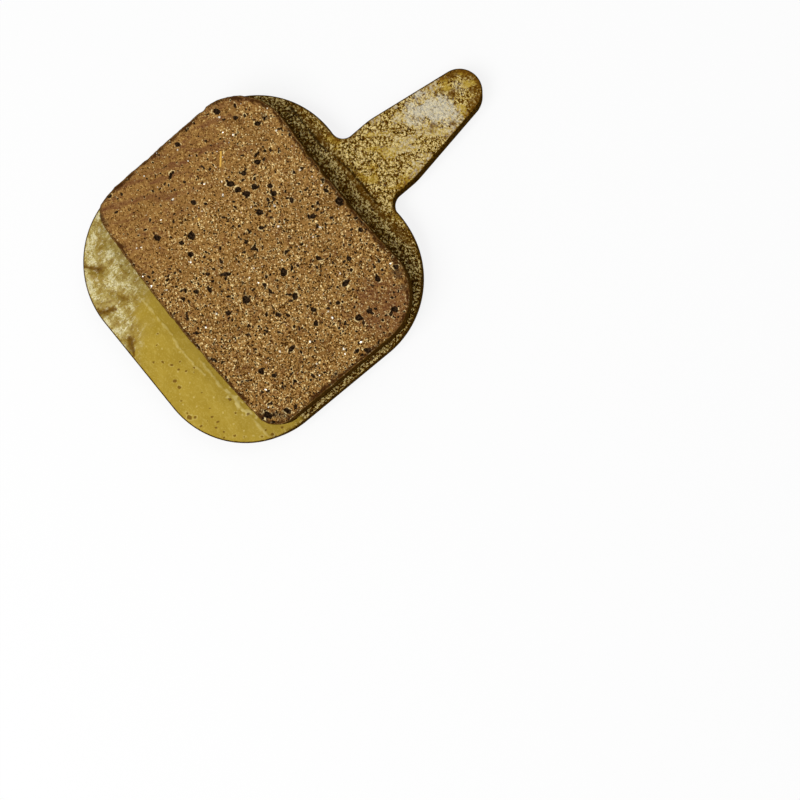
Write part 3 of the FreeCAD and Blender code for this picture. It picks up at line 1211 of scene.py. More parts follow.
LARGE_PITS = (
    Pit((-2.99, 5.66), 0.23, 1.1), Pit((-3.61, 5.87), 0.2), Pit((-5.74, 6.29), 0.23),
    Pit((-4.38, 3.99), 0.27), Pit((-4.44, 4.83), 0.22), Pit((-5.07, 3.65), 0.23, 1.4, 80.0),
    Pit((-5.83, 3.51), 0.24, 1.5, 60.0), Pit((-5.76, 4.86), 0.2), Pit((-2.57, 3.86), 0.23),
    Pit((-1.53, 3.16), 0.18), Pit((-1.6, 6.47), 0.19, 1.6, 150.0), Pit((-0.39, 9.09), 0.16, 1.5, 10.0),
    Pit((-11.07, 2.19), 0.19),
    Pit((-9.51, 0.13), 0.14, 2.2, 130.0), Pit((-6.67, 0.22), 0.2), Pit((-4.72, -1.63), 0.28, 1.3, 20.0),
    Pit((-3.61, -2.64), 0.23), Pit((-4.79, -2.6), 0.18), Pit((-6.43, -3.92), 0.25), Pit((-1.04, -4.2), 0.21),
    Pit((-0.53, -1.42), 0.2, 2.2, 55.0), Pit((-0.44, -3.26), 0.17, 1.8, 0.0), Pit((-1.5, -2.53), 0.16),
    Pit((-8.08, 8.23), 0.2), Pit((-9.58, 7.16), 0.17), Pit((-10.97, 6.33), 0.24),
    Pit((-0.69, 1.7), 0.13, 2.4, 110.0), Pit((-11.6, -4.8), 0.21), Pit((0.92, 9.37), 0.27),
    Pit((3.74, 9.2), 0.18), Pit((7.63, 7.81), 0.23, 1.4, 0.0), Pit((7.83, 9.52), 0.18),
    Pit((10.33, 7.33), 0.23), Pit((6.26, 5.63), 0.25, 1.5, 100.0), Pit((3.32, 5.2), 0.18),
    Pit((9.15, 5.66), 0.19), Pit((9.08, 4.69), 0.25), Pit((11.5, 3.58), 0.21),
    Pit((2.35, 2.29), 0.27, 1.3, 150.0), Pit((7.17, 1.74), 0.22, 1.0), Pit((6.26, 2.3), 0.2),
    Pit((7.07, 4.13), 0.17), Pit((4.43, 1.8), 0.22, 1.6, 140.0), Pit((2.14, 0.48), 0.16),
    Pit((4.71, -0.17), 0.2), Pit((2.07, -1.45), 0.28, 1.4, 25.0), Pit((7.5, -1.1), 0.2, 1.7, 100.0),
    Pit((2.0, -3.27), 0.2), Pit((8.25, -3.55), 0.2), Pit((7.35, -4.2), 0.22, 1.5, 20.0),
    Pit((11.2, -4.5), 0.2), Pit((10.4, -6.0), 0.3, 1.4, 10.0), Pit((0.47, 6.98), 0.2),
    Pit((4.92, 7.05), 0.18),
)

# Noise that breaks up the limits of stains on the friction face
FACE_CLOUD = Texture(0.5, 2)


@dataclass
class FrictionBlock:
    """The moulded block with its ground face, its walls and the keys that fill the plate's holes."""

    base: float
    top: float
    key_end: float
    width: float = 23.8
    tab_edge: float = 9.84
    far_edge: float = 7.19
    sweep: float = 110.0
    tab_corner: float = 4.5
    far_corner: float = 2.1
    draft: float = 1.5
    step: float = 0.08
    key_step: float = 0.13
    seed: int = 11

    # Rings of the wall from the base up, the last of them by drop below the face and share of the breakage
    wall_rings: int = 9
    wall_drop: float = 0.3
    wall_share: Span = (0.12, 0.62)
    last_rings: tuple[Place, ...] = ((0.18, 0.8), (0.09, 1.0))

    # Ragged, bitten upper edge and rough walls
    ragged: Texture = Texture(0.55, 3)
    bite: Texture = Texture(1.1, 1, 40.0)
    bite_span: Span = (0.45, 0.9)
    wall_ragged: float = 0.05
    wall_bite: float = 0.14
    wall_rough: float = 0.03
    wall_grain: Texture = Texture(0.35, 2)
    wall_drift: Place = (1.3, 0.7)
    crown_inset: float = 0.13
    crown_ragged: float = 0.1
    crown_bite: float = 0.16

    # Keys
    key_corner: float = 0.06
    key_lift: float = 0.02
    key_end_lift: float = 0.03
    key_rough: float = 0.05
    key_grain: Texture = Texture(0.4, 3, 60.0)

    # Small pits by number and span of radii, and the edges of all pits
    small_pits: tuple[tuple[int, Span], ...] = ((270, (0.075, 0.13)), (1500, (0.045, 0.08)))
    pit_low: Place = (-11.8, -7.4)
    pit_high: Place = (11.8, 10.0)
    pit_stretch: Span = (1.0, 1.9)
    pit_crowd: Span = (-8.0, -1.0)
    pit_least: float = 0.4
    pit_margin: float = 0.1
    pit_edge: Texture = Texture(0.19, 2)
    pit_ragged: float = 0.32
    pit_reach: float = 3.0
    no_pit: float = -1.0

    # Relief of the face
    face_sink: float = 0.045
    least_sink: float = 0.003
    grain: Texture = Texture(0.26, 2)
    grain_height: float = 0.02
    smooth_grain: float = 0.5
    swell: Texture = Texture(2.4)
    swell_height: float = 0.01
    streak: Texture = Texture(0.36, 2)
    streak_stretch: float = 11.0
    streak_depth: float = 0.007
    edge_roll: Soft = Soft((0.36, 0.05), ((0.12, Texture(0.5)),))
    roll_depth: float = 0.12
    pit_depth: float = 0.22
    pit_slope: Span = (-0.05, 0.4)
    shallow_depth: float = 0.1
    shallow_slope: Span = (-0.05, 0.6)
    main_pit: float = 0.22

    # Smooth and coarse ends of the face, its dark border with painted shade along the tab edge, and places
    # with no bright grains
    smooth_end: Soft = Soft((-4.5, -9.5), ((1.5, Texture(3.0)),))
    smooth_lean: float = 0.35
    coarse_end: Span = (-7.0, 9.0)
    streak_end: Soft = Soft((-4.5, -9.5), ((1.5, Texture(2.0)),))
    streak_edge: Span = (0.0, 0.5)
    border: float = 0.34
    border_start: float = 0.2
    border_ragged: float = 0.35
    border_cloud: Texture = Texture(1.3)
    tab_edge_shade: Soft = Soft((0.8, 0.2), ((0.15, FACE_CLOUD),))
    tab_edge_shade_start: Span = (6.5, 8.5)
    tab_edge_shade_share: float = 0.85
    grain_margin: float = 0.25
    grain_pit: float = -0.2

    # Marks on the face
    reddened: Marks = (Spot((10.0, 7.0), (3.2, 4.5), 110.0),)
    redden: Soft = Soft((0.0, 0.8), ((0.4, FACE_CLOUD),))
    fibres: Marks = (Line(((-8.29, 4.51), (-7.43, 3.76)), 0.1), Spot((-5.35, -0.28), (0.16, 0.1), 140.0))
    fibre: Soft = Soft((0.0, 0.6))
    smudges: Marks = (
        Spot((8.3, 9.3), (0.7, 0.45)), Spot((9.5, 9.0), (0.5, 0.3)), Spot((11.0, -5.2), (1.3, 0.5), 60.0),
        Spot((11.4, 0.3), (0.9, 0.35), 90.0), Spot((-8.1, 9.0), (0.5, 0.3)), Spot((10.2, -6.1), (0.9, 0.4)),
        Spot((-11.7, -4.9), (1.3, 0.35), 85.0), Spot((-10.8, -6.4), (1.2, 0.4), 5.0),
    )
    smudge: Soft = Soft((0.1, 0.7), ((0.5, FACE_CLOUD),))

    # How strong the grades of the face are
    STRENGTHS: ClassVar[Weights] = {"smooth": 0.6, "streak": 0.55, "redden": 0.55, "fibre": 0.8,
                                    "smudge": 0.6}

    def outline(self) -> Array:
        """Trace the friction face: straight sides, swept edges and rounded corners.

        Returns:
            The points of the outline.
        """
        side = self.width / 2
        sweep_y = self.tab_edge + self.sweep
        far_sweep = sweep_y + self.far_edge
        tab_x = side - self.tab_corner
        tab_y = sweep_y - math.sqrt((self.sweep + self.tab_corner) ** 2 - tab_x ** 2)
        far_x = side - self.far_corner
        far_y = sweep_y - math.sqrt((far_sweep - self.far_corner) ** 2 - far_x ** 2)
        tab_turn = math.degrees(math.atan2(sweep_y - tab_y, -tab_x))
        far_turn = math.degrees(math.atan2(far_y - sweep_y, far_x))
        return closed_outline([
            Bend((0.0, sweep_y), far_sweep, -90.0, far_turn),
            Bend((far_x, far_y), self.far_corner, far_turn, 0.0),
            Straight((side, far_y), (side, tab_y)),
            Bend((tab_x, tab_y), self.tab_corner, 0.0, tab_turn),
            Bend((0.0, sweep_y), self.sweep, tab_turn - 180.0, -90.0),
        ], self.step)

    def pits(self, fence: Fence) -> list[Pit]:
        """Gather the large pits and draw the small ones, which crowd towards the right.

        Args:
            fence: outline of the face.

        Returns:
            All pits.
        """
        draw = np.random.default_rng(self.seed)
        drawn = []
        for count, radius in self.small_pits:
            places = draw.uniform(self.pit_low, self.pit_high, (count, 2))
            radii = draw.uniform(*radius, count)
            stretches = draw.uniform(*self.pit_stretch, count)
            turns = draw.uniform(0.0, 180.0, count)
            chances = draw.uniform(0.0, 1.0, count)
            wanted = self.pit_least + (1.0 - self.pit_least) * ease(places[:, 0], self.pit_crowd)
            kept = (fence.depth(places) > self.pit_margin) & (chances < wanted)
            for index in np.flatnonzero(kept):
                centre = (places[index, 0], places[index, 1])
                drawn.append(Pit(centre, radii[index], stretches[index], turns[index]))
        return [*LARGE_PITS, *drawn]

    def pit_field(self, on: Surface, pits: list[Pit]) -> Array:
        """Grade places by how deep they lie in a pit.

        Args:
            on: the places.
            pits: the pits.

        Returns:
            1 in a pit's middle, 0 on its ragged edge and -1 well outside.
        """
        field = np.full(len(on.x), self.no_pit)
        ragged = 1.0 + self.pit_ragged * on.read(self.pit_edge)
        for pit in pits:
            reach = pit.radius * pit.stretch * self.pit_reach
            near = np.flatnonzero((abs(on.x - pit.centre[0]) < reach) & (abs(on.y - pit.centre[1]) < reach))
            oval = pit.mark().grade(on.x[near], on.y[near])
            field[near] = np.maximum(field[near], 1.0 - (1.0 - oval) * ragged[near])
        return field

    def build_walls(self, shell: Shell, fence: Fence, noise: LatticeNoise) -> list[Array]:
        """Mesh the walls up to the ragged edge of the face.

        Args:
            shell: the shell that grows.
            fence: outline of the face.
            noise: noise of the walls.

        Returns:
            Indices of the rings from the base to the face.
        """
        edge = Surface(fence.loop, noise)
        ragged = 0.5 + 0.5 * edge.read(self.ragged)
        bite = ease(edge.read(self.bite), self.bite_span)
        slope = math.tan(math.radians(self.draft))
        height = self.top - self.base
        levels = list(zip(np.linspace(0.0, height - self.wall_drop, self.wall_rings),
                          np.linspace(*self.wall_share, self.wall_rings)))
        levels += [(height - drop, share) for drop, share in self.last_rings]
        rings = []
        for rise, share in levels:
            wall = Surface(fence.loop + np.array(self.wall_drift) * rise, noise)
            rough = self.wall_rough * (1.0 + wall.read(self.wall_grain))
            broken = share * (self.wall_ragged * ragged + self.wall_bite * bite)
            inset = broken + rough - (height - rise) * slope
            rings.append(shell.add(fence.inset(inset), self.base + rise, Region.WALL))
        inset = self.crown_inset + self.crown_ragged * ragged + self.crown_bite * bite
        rings.append(shell.add(fence.inset(inset), self.top, Region.FACE))
        shell.strip(rings)
        return rings

    def build_key(self, shell: Shell, key: Key, noise: LatticeNoise) -> Array:
        """Mesh one key from the block down to its end.

        Args:
            shell: the shell that grows.
            key: the key.
            noise: noise for its rough end.

        Returns:
            Indices of the ring where the key meets the block.
        """
        radius = key.radius - KEY_CLEARANCE
        end_radius = radius - self.key_corner
        end_rim = self.key_end + self.key_lift
        middle = np.array(key.centre)
        full = circle(key.centre, radius, self.key_step)
        narrow = middle + (full - middle) * end_radius / radius
        heights = (self.base, (self.base + self.key_end) / 2, end_rim + self.key_corner)
        rings = [shell.add(full, height, Region.KEY_WALL) for height in heights]
        rings.append(shell.add(narrow, end_rim, Region.KEY_WALL))
        shell.strip(rings[::-1])
        places = scatter(middle - radius, middle + radius, self.key_step, self.seed)
        distance = np.linalg.norm(places - middle, axis=1)
        places = places[distance < end_radius - self.key_step / 2]
        rough = self.key_rough * Surface(places, noise).read(self.key_grain)
        end = shell.add(places, self.key_end + self.key_end_lift + rough, Region.KEY_END)
        shell.fill(rings[-1], [], end, False)
        return rings[0]

    def build(self) -> Piece:
        """Mesh the block with its relief.

        Returns:
            The object.
        """
        fence = Fence(self.outline())
        noise = LatticeNoise(self.seed)
        shell = Shell()
        base, *_, crown = self.build_walls(shell, fence, noise)
        places = scatter(fence.loop.min(0), fence.loop.max(0), self.step, self.seed)
        places = places[Fence(shell.points[crown, :2]).depth(places) > self.step / 2]
        shell.fill(crown, [], shell.add(places, self.top, Region.FACE), True)
        shoulders = [self.build_key(shell, key, noise) for key in KEYS]
        shell.fill(base, shoulders, np.empty(0, int), False)
        on = Surface(shell.points[:, :2], noise)
        depth = fence.depth(shell.points[:, :2])
        pit = self.pit_field(on, self.pits(fence))
        self.relieve(shell, on, depth, pit)
        return shell.to_object("friction_block_sintered", self.wear_and_light(shell, on, depth, pit))

    def smoothness(self, on: Surface) -> Array:
        """Grade the face by how smooth it is ground."""
        return on.soft(on.x + self.smooth_lean * on.y, self.smooth_end)

    def streaks(self, on: Surface) -> Array:
        """Read the marks that the grinding left."""
        return on.drawn(GRIND_TURN, self.streak_stretch, self.streak)

    def relieve(self, shell: Shell, on: Surface, depth: Array, pit: Array) -> None:
        """Sink the pits, the grain and the worn edge into the face.

        Args:
            shell: the meshed block.
            on: its places.
            depth: how deep they lie inside the face's outline.
            pit: how deep they lie in a pit.
        """
        face = shell.regions == Region.FACE
        smooth = self.smoothness(on)
        roll = on.soft(depth, self.edge_roll)
        main = self.pit_field(on, [one for one in LARGE_PITS if one.radius >= self.main_pit])
        sink = self.face_sink + self.swell_height * on.read(self.swell)
        sink = sink + self.grain_height * (1.0 - self.smooth_grain * smooth) * on.read(self.grain)
        sink = sink + self.streak_depth * smooth * self.streaks(on) + self.roll_depth * roll * roll
        sink = sink + self.shallow_depth * ease(pit, self.shallow_slope)
        sink = sink + (self.pit_depth - self.shallow_depth) * ease(main, self.pit_slope)
        shell.points[face, 2] = self.top - np.clip(sink, self.least_sink, None)[face]

    def wear_and_light(self, shell: Shell, on: Surface, depth: Array, pit: Array) -> Grades:
        """Grade every point for the finish.

        Args:
            shell: the meshed block.
            on: its places.
            depth: how deep they lie inside the face's outline.
            pit: how deep they lie in a pit.

        Returns:
            Grades by name.
        """
        face = shell.regions == Region.FACE
        far_band = np.exp(-np.clip(depth - self.border_start, 0.0, None) / self.border)
        far_band = far_band * (1.0 + self.border_ragged * on.read(self.border_cloud))
        # Painted shade along the tab edge of the face, which the rim grade adds to the dark border
        tab_shade = on.soft(depth, self.tab_edge_shade) * ease(on.y, self.tab_edge_shade_start)
        grades = {
            "smooth": self.smoothness(on),
            "streak": on.soft(on.x, self.streak_end) * ease(self.streaks(on), self.streak_edge),
            "redden": on.marked(self.reddened, self.redden),
            "fibre": on.marked(self.fibres, self.fibre),
            "smudge": on.marked(self.smudges, self.smudge),
        }
        grades = {name: self.STRENGTHS[name] * values for name, values in grades.items()}
        grades["face"] = face.astype(float)
        grades["key"] = (shell.regions == Region.KEY_END).astype(float)
        grades["grain_share"] = (face & (depth > self.grain_margin) & (pit < self.grain_pit)).astype(float)
        grades["pit"] = np.where(face, pit, self.no_pit)
        grades["rim"] = np.where(face, np.maximum(far_band, self.tab_edge_shade_share * tab_shade), 0.0)
        grades["coarse"] = ease(on.x, self.coarse_end)
        return grades


# Noises that break up the limits of the worn coat, from broad to fine
WARP = Texture(1.6, 3)
CLOUD = Texture(0.7, 3)
DRIFT = Texture(0.24, 1, 15.0)

# Small brown bubbles in the film of the far strip, all a little narrower than long
BUBBLE_TURN = 60.0
BUBBLE_WIDTH = 0.75
FILM_BUBBLES = tuple(Spot((x, y), (radius, BUBBLE_WIDTH * radius), BUBBLE_TURN) for x, y, radius in (
    (3.63, -10.86, 0.18), (2.97, -10.78, 0.15), (2.92, -9.53, 0.12), (1.78, -10.15, 0.17),
    (7.94, -10.1, 0.15), (7.26, -10.27, 0.13), (6.63, -9.93, 0.1), (7.16, -8.1, 0.2),
    (9.06, -7.73, 0.17), (2.02, -9.42, 0.1),
    (3.16, -8.79, 0.1), (7.28, -11.46, 0.14), (9.7, -9.76, 0.13), (-0.32, -10.07, 0.12), (6.1, -11.8, 0.24),
    (5.69, -11.71, 0.14), (2.43, -9.94, 0.1), (3.43, -9.07, 0.09), (8.32, -8.48, 0.12), (8.86, -10.29, 0.12),
    (6.41, -11.39, 0.16), (7.29, -10.76, 0.1), (5.17, -9.67, 0.09), (8.18, -10.57, 0.11), (0.6, -11.2, 0.1),
    (1.1, -10.6, 0.13), (-1.0, -9.4, 0.1), (4.6, -11.4, 0.12), (9.3, -10.6, 0.1), (10.3, -9.2, 0.1),
    (11.2, -8.0, 0.14), (11.6, -7.2, 0.16), (11.0, -7.4, 0.1), (11.7, -6.2, 0.14),
))

# Tiny light blisters in the film of the far strip
BLISTER_REACH: Place = (0.14, 0.14)
FILM_BLISTERS = tuple(Spot(place, BLISTER_REACH) for place in (
    (6.12, -9.1), (5.05, -10.42), (2.51, -10.09), (4.93, -11.53), (10.7, -8.52), (4.1, -11.17), (2.9, -8.71),
    (0.2, -9.9), (-0.8, -10.8), (1.4, -8.9), (8.9, -9.2), (7.6, -9.3), (3.9, -9.9), (9.9, -8.9), (5.8, -10.7),
))

# Brown spots on the tab where the coat is thick
SPOT_REACH: Place = (0.6, 0.4)
SPOT_TURN = 30.0
TAB_SPOTS = tuple(Spot(place, SPOT_REACH, SPOT_TURN) for place in (
    (-1.13, 21.18), (0.73, 19.0), (1.06, 18.61), (1.61, 20.31), (0.7, 23.2), (-0.54, 23.5), (-0.32, 21.77),
    (1.3, 22.5),
))


@dataclass(frozen=True)
class CoatWearAndLight:
    """Wear and painted light of the plate's front: a film on the far strip, painted sheen on the tab, painted
    shade by the block.
    """

    # Film on the far strip, which widens towards one corner, and its crinkled end
    strip: Soft = Soft((-6.2, -6.9), ((0.3, WARP),))
    strip_lift: float = 2.0
    strip_corner: Span = (9.0, 12.0)
    film_end: Soft = Soft((12.5, 11.7), ((0.5, WARP),))
    crinkle: Soft = Soft((2.2, -1.2), ((1.8, WARP),))
    crinkle_place: Place = (-4.0, -9.5)
    crinkle_lean: float = 0.9

    # Dents, creases, ridges, bubbles and blisters in the film, with painted shade in dents and creases, and
    # painted highlights on ridges, along the block's foot and round bubbles
    dents: Marks = (Line(((-9.5, -10.8), (-8.3, -9.7)), 0.6), Spot((-5.5, -9.9), (1.1, 0.6), 20.0),
                    Line(((-5.7, -12.3), (-4.9, -10.8)), 0.6), Spot((-1.6, -11.8), (1.5, 0.8), 150.0))
    dent: Soft = Soft((0.0, 0.9), ((0.7, CLOUD),))
    creases: Marks = (Line(((-9.3, -10.7), (-8.3, -9.8)), 0.16), Line(((-5.6, -12.3), (-4.9, -10.9)), 0.16),
                      Line(((-2.3, -11.5), (-0.9, -12.1)), 0.2))
    crease: Soft = Soft((0.1, 0.8), ((0.5, CLOUD),))
    ridges: Marks = (Line(((-4.6, -8.6), (-0.1, -8.5), (0.9, -8.74), (3.1, -8.64), (4.2, -8.48)), 0.2),
                     Line(((2.9, -8.0), (4.8, -8.0), (5.4, -8.05), (9.6, -7.67), (11.5, -7.56)), 0.2))
    ridge: Soft = Soft((0.0, 0.9), ((0.5, CLOUD), (0.3, DRIFT)))
    foot_highlights: Marks = (Line(((6.3, -7.85), (9.4, -7.68)), 0.5),)
    foot_highlight: Soft = Soft((0.1, 0.9), ((0.5, CLOUD), (0.8, DRIFT)))
    bubble_ragged: float = 0.4
    bubble: Span = (0.0, 0.35)
    halo_middle: float = -0.4
    halo: Span = (0.5, 0.1)
    halo_gaps: Span = (-0.2, 0.2)
    blister: Soft = Soft((0.0, 0.6))

    # Tab from its root to its tip, with pale patches of painted sheen
    tab: Soft = Soft((11.2, 12.2), ((0.3, WARP),))
    tip: Soft = Soft((20.9, 22.2), ((0.9, CLOUD),))
    middle: Span = (13.5, 16.0)
    lower: Span = (16.0, 13.0)
    sheen_spots: Marks = (Spot((-0.1, 20.0), (2.7, 1.5), 25.0), Spot((-1.0, 18.8), (1.8, 1.5), 0.0, 0.7),
                     Spot((-0.2, 22.5), (0.9, 0.6), 10.0, 0.6))
    patch: Soft = Soft((-0.1, 0.6), ((0.5, CLOUD),))
    patch_tip: float = 0.6
    calm_streaks: Texture = Texture(0.6, 2)
    calm_streak_turn: float = 51.0
    calm_streak_stretch: float = 2.4
    calm: Span = (0.2, 0.45)
    calm_middle: float = 0.55
    calm_tip: float = 0.2
    calm_patch: float = 0.6
    roots: Marks = (Line(((-8.1, 11.1), (-4.1, 11.0), (-2.2, 11.37), (-0.7, 11.6), (2.6, 11.55)), 0.22),)
    root: Soft = Soft((0.1, 0.9), ((0.4, CLOUD),))
    spot: Soft = Soft((0.0, 0.8), ((0.6, CLOUD),))
    edge: Soft = Soft((0.7, 0.1), ((0.15, CLOUD),))
    # Painted shade darkening the tab towards the plate's edge, stronger at the tip
    edge_shade: float = 0.07
    tip_edge_shade: Soft = Soft((1.2, 0.2), ((0.4, CLOUD),))

    # Coat beside the block: a seam of painted shade, a lighter band outside it, and darker corners
    beside: Soft = Soft((0.7, 0.1), ((0.1, CLOUD),))
    beside_end: Span = (13.0, 10.0)
    band: Span = (0.55, 0.1)
    band_middle: float = 0.9
    band_ragged: float = 0.6
    band_end: Span = (12.0, 9.0)
    band_gaps: Span = (-0.6, 0.0)
    band_fresh: float = 0.9
    outer: Soft = Soft((1.05, 1.35), ((0.2, CLOUD),))
    outer_start: Span = (8.5, 9.5)
    side: Span = (11.6, 12.0)
    dim: Span = (5.0, 9.0)

    # Lumps that are less broad on the tab, and the film's gloss that stops at the edge
    tab_fineness: float = 0.4
    gloss_start: Span = (0.15, 0.5)

    # How much every mask counts in the grades
    # Tone shifts of the shoulders; next to the block the shift is painted shade
    SHOULDER_TONE_AND_SHADE: ClassVar[Weights] = {"all": -0.07, "band": 0.08, "outer": -0.06, "beside": -0.13,
                                        "side": 0.07, "dim": -0.02}
    TAB_TONE: ClassVar[Weights] = {"all": 0.002, "middle": 0.02, "calm": 0.04, "patch": 0.03, "tip": 0.02}
    CONTRAST: ClassVar[Weights] = {"all": 2.6, "beside": 0.6, "band": 1.0, "side": 0.8, "tab": 1.5,
                                   "coated": 0.6, "dim": 0.7, "tip": -1.5, "smoothed": -3.2}
    # Pale: painted sheen on the tab's patches and mid-tab streaks, painted highlights on ridges, along the
    # block's foot and round bubbles, and pale blisters
    PALE: ClassVar[Weights] = {"bright": 0.85, "calm_middle": 0.45, "ridge": 0.62, "foot_highlight": 1.0, "halo": 0.65,
                               "blister": 0.7}
    # Brown stains of bubbles, spots and the outer coat, brown towards the lower tab's edge, and painted shade
    # at the tip's edge
    STAIN_AND_SHADE: ClassVar[Weights] = {"bubble": 1.2, "tip_edge_shade": 0.75, "lower_edge": 0.6, "spot": 0.8, "outer": 0.8}
    # Brown of the film's dents and creases, partly stain and partly painted shade
    SUNK_STAIN_AND_SHADE: ClassVar[Weights] = {"dent": 0.65, "crease": 0.9}
    AGED_STAIN: ClassVar[Weights] = {"aged": 0.36, "dim": -0.2}
    # Darkened: the dark line at the tab's root, creases with painted shade, and painted shade next to the
    # block
    DARK_MARKS_AND_SHADE: ClassVar[Weights] = {"beside": 0.35, "root": 1.0, "crease": 0.5}
    GLOSS: ClassVar[Weights] = {"film": 0.05, "crinkle": 0.2}

    def film_masks(self, on: Surface) -> Grades:
        """Mask the far strip, its film and what is in the film, with painted highlights along its ridges and
        the block's foot and round its bubbles.

        Args:
            on: the places.

        Returns:
            Masks by name.
        """
        strip = on.soft(on.y - self.strip_lift * ease(on.x, self.strip_corner), self.strip)
        lean = on.x - self.crinkle_place[0] + self.crinkle_lean * (on.y - self.crinkle_place[1])
        bubbles = on.strongest(FILM_BUBBLES) + self.bubble_ragged * on.read(DRIFT)
        halo = ease(abs(bubbles - self.halo_middle), self.halo)
        masks = {
            "film": on.soft(on.x, self.film_end),
            "crinkle": on.soft(lean, self.crinkle),
            "dent": on.marked(self.dents, self.dent),
            "crease": on.marked(self.creases, self.crease),
            "ridge": on.marked(self.ridges, self.ridge),
            "foot_highlight": on.marked(self.foot_highlights, self.foot_highlight),
            "bubble": ease(bubbles, self.bubble),
            "halo": halo * ease(on.read(CLOUD), self.halo_gaps),
            "blister": on.marked(FILM_BLISTERS, self.blister),
            "strip": np.ones_like(strip),
        }
        return {name: strip * mask for name, mask in masks.items()}

    def tab_masks(self, on: Surface, depth: Array) -> Grades:
        """Mask the tab, its pale patches of painted sheen, its spotted places and the plate's edge.

        Args:
            on: the places.
            depth: how deep they lie inside the plate's outline.

        Returns:
            Masks by name.
        """
        tab = on.soft(on.y, self.tab)
        tip = on.soft(on.y, self.tip)
        edge = on.soft(depth, self.edge)
        middle = ease(on.y, self.middle) * (1.0 - tip)
        patch = on.marked(self.sheen_spots, self.patch)
        drawn = on.drawn(self.calm_streak_turn, self.calm_streak_stretch, self.calm_streaks)
        calm = ease(drawn + self.calm_middle * middle + self.calm_tip * tip, self.calm) * tab
        return {
            "tab": tab,
            "tip": tip,
            "edge": edge,
            "middle": middle,
            "patch": patch,
            "calm": calm,
            "bright": patch * (1.0 - self.patch_tip * tip),
            "calm_middle": calm * middle,
            "smoothed": calm * (1.0 - self.calm_patch * patch),
            "root": on.marked(self.roots, self.root),
            "spot": on.marked(TAB_SPOTS, self.spot) * tab,
            "tip_edge_shade": on.soft(depth, self.tip_edge_shade) * tip,
            "lower_edge": edge * tab * ease(on.y, self.lower),
        }

    def coat_masks(self, on: Surface, reach: Array, strip: Array, tab: Array) -> Grades:
        """Mask the coat beside the block, with the painted shade next to it.

        Args:
            on: the places.
            reach: how far they lie outside the block.
            strip: mask of the far strip.
            tab: mask of the tab.

        Returns:
            Masks by name.
        """
        coated = (1.0 - strip) * (1.0 - tab)
        band = ease(abs(reach - self.band_middle + self.band_ragged * on.read(CLOUD)), self.band)
        band = band * ease(on.x, self.band_end) * ease(on.read(WARP), self.band_gaps)
        return {
            "coated": coated,
            "band": band,
            "aged": coated * (1.0 - self.band_fresh * band),
            "beside": (1.0 - strip) * on.soft(reach, self.beside) * ease(on.x, self.beside_end),
            "outer": coated * ease(on.y, self.outer_start) * on.soft(reach, self.outer),
            "side": ease(on.x, self.side),
            "dim": coated * ease(on.x, self.dim),
        }

    def grades(self, on: Surface, depth: Array, reach: Array) -> Grades:
        """Grade the front for its relief and its finish.

        Args:
            on: the places.
            depth: how deep they lie inside the plate's outline.
            reach: how far they lie outside the friction block.

        Returns:
            Masks and grades by name.
        """
        masks = {"all": np.ones_like(depth), **self.film_masks(on), **self.tab_masks(on, depth)}
        masks |= self.coat_masks(on, reach, masks["strip"], masks["tab"])
        # The tone shift holds painted shade next to the block and along the plate's edge
        shoulder = total(masks, self.SHOULDER_TONE_AND_SHADE)
        tone = shoulder + masks["tab"] * (total(masks, self.TAB_TONE) - shoulder)
        gloss = total(masks, self.GLOSS) * ease(depth, self.gloss_start)
        return masks | {
            "tone": tone - self.edge_shade * masks["edge"] * (1.0 + masks["tip"]),
            "broad": (1.0 - masks["patch"]) * (1.0 - self.tab_fineness * masks["tab"]),
            "contrast": total(masks, self.CONTRAST),
            "pale": most(masks, self.PALE),
            "stain": np.max([most(masks, self.STAIN_AND_SHADE), total(masks, self.SUNK_STAIN_AND_SHADE),
                             total(masks, self.AGED_STAIN)], 0),
            "dark_marks_and_shade": most(masks, self.DARK_MARKS_AND_SHADE),
            "gloss": gloss * (1.0 - masks["beside"]) * (1.0 - masks["dent"]),
        }


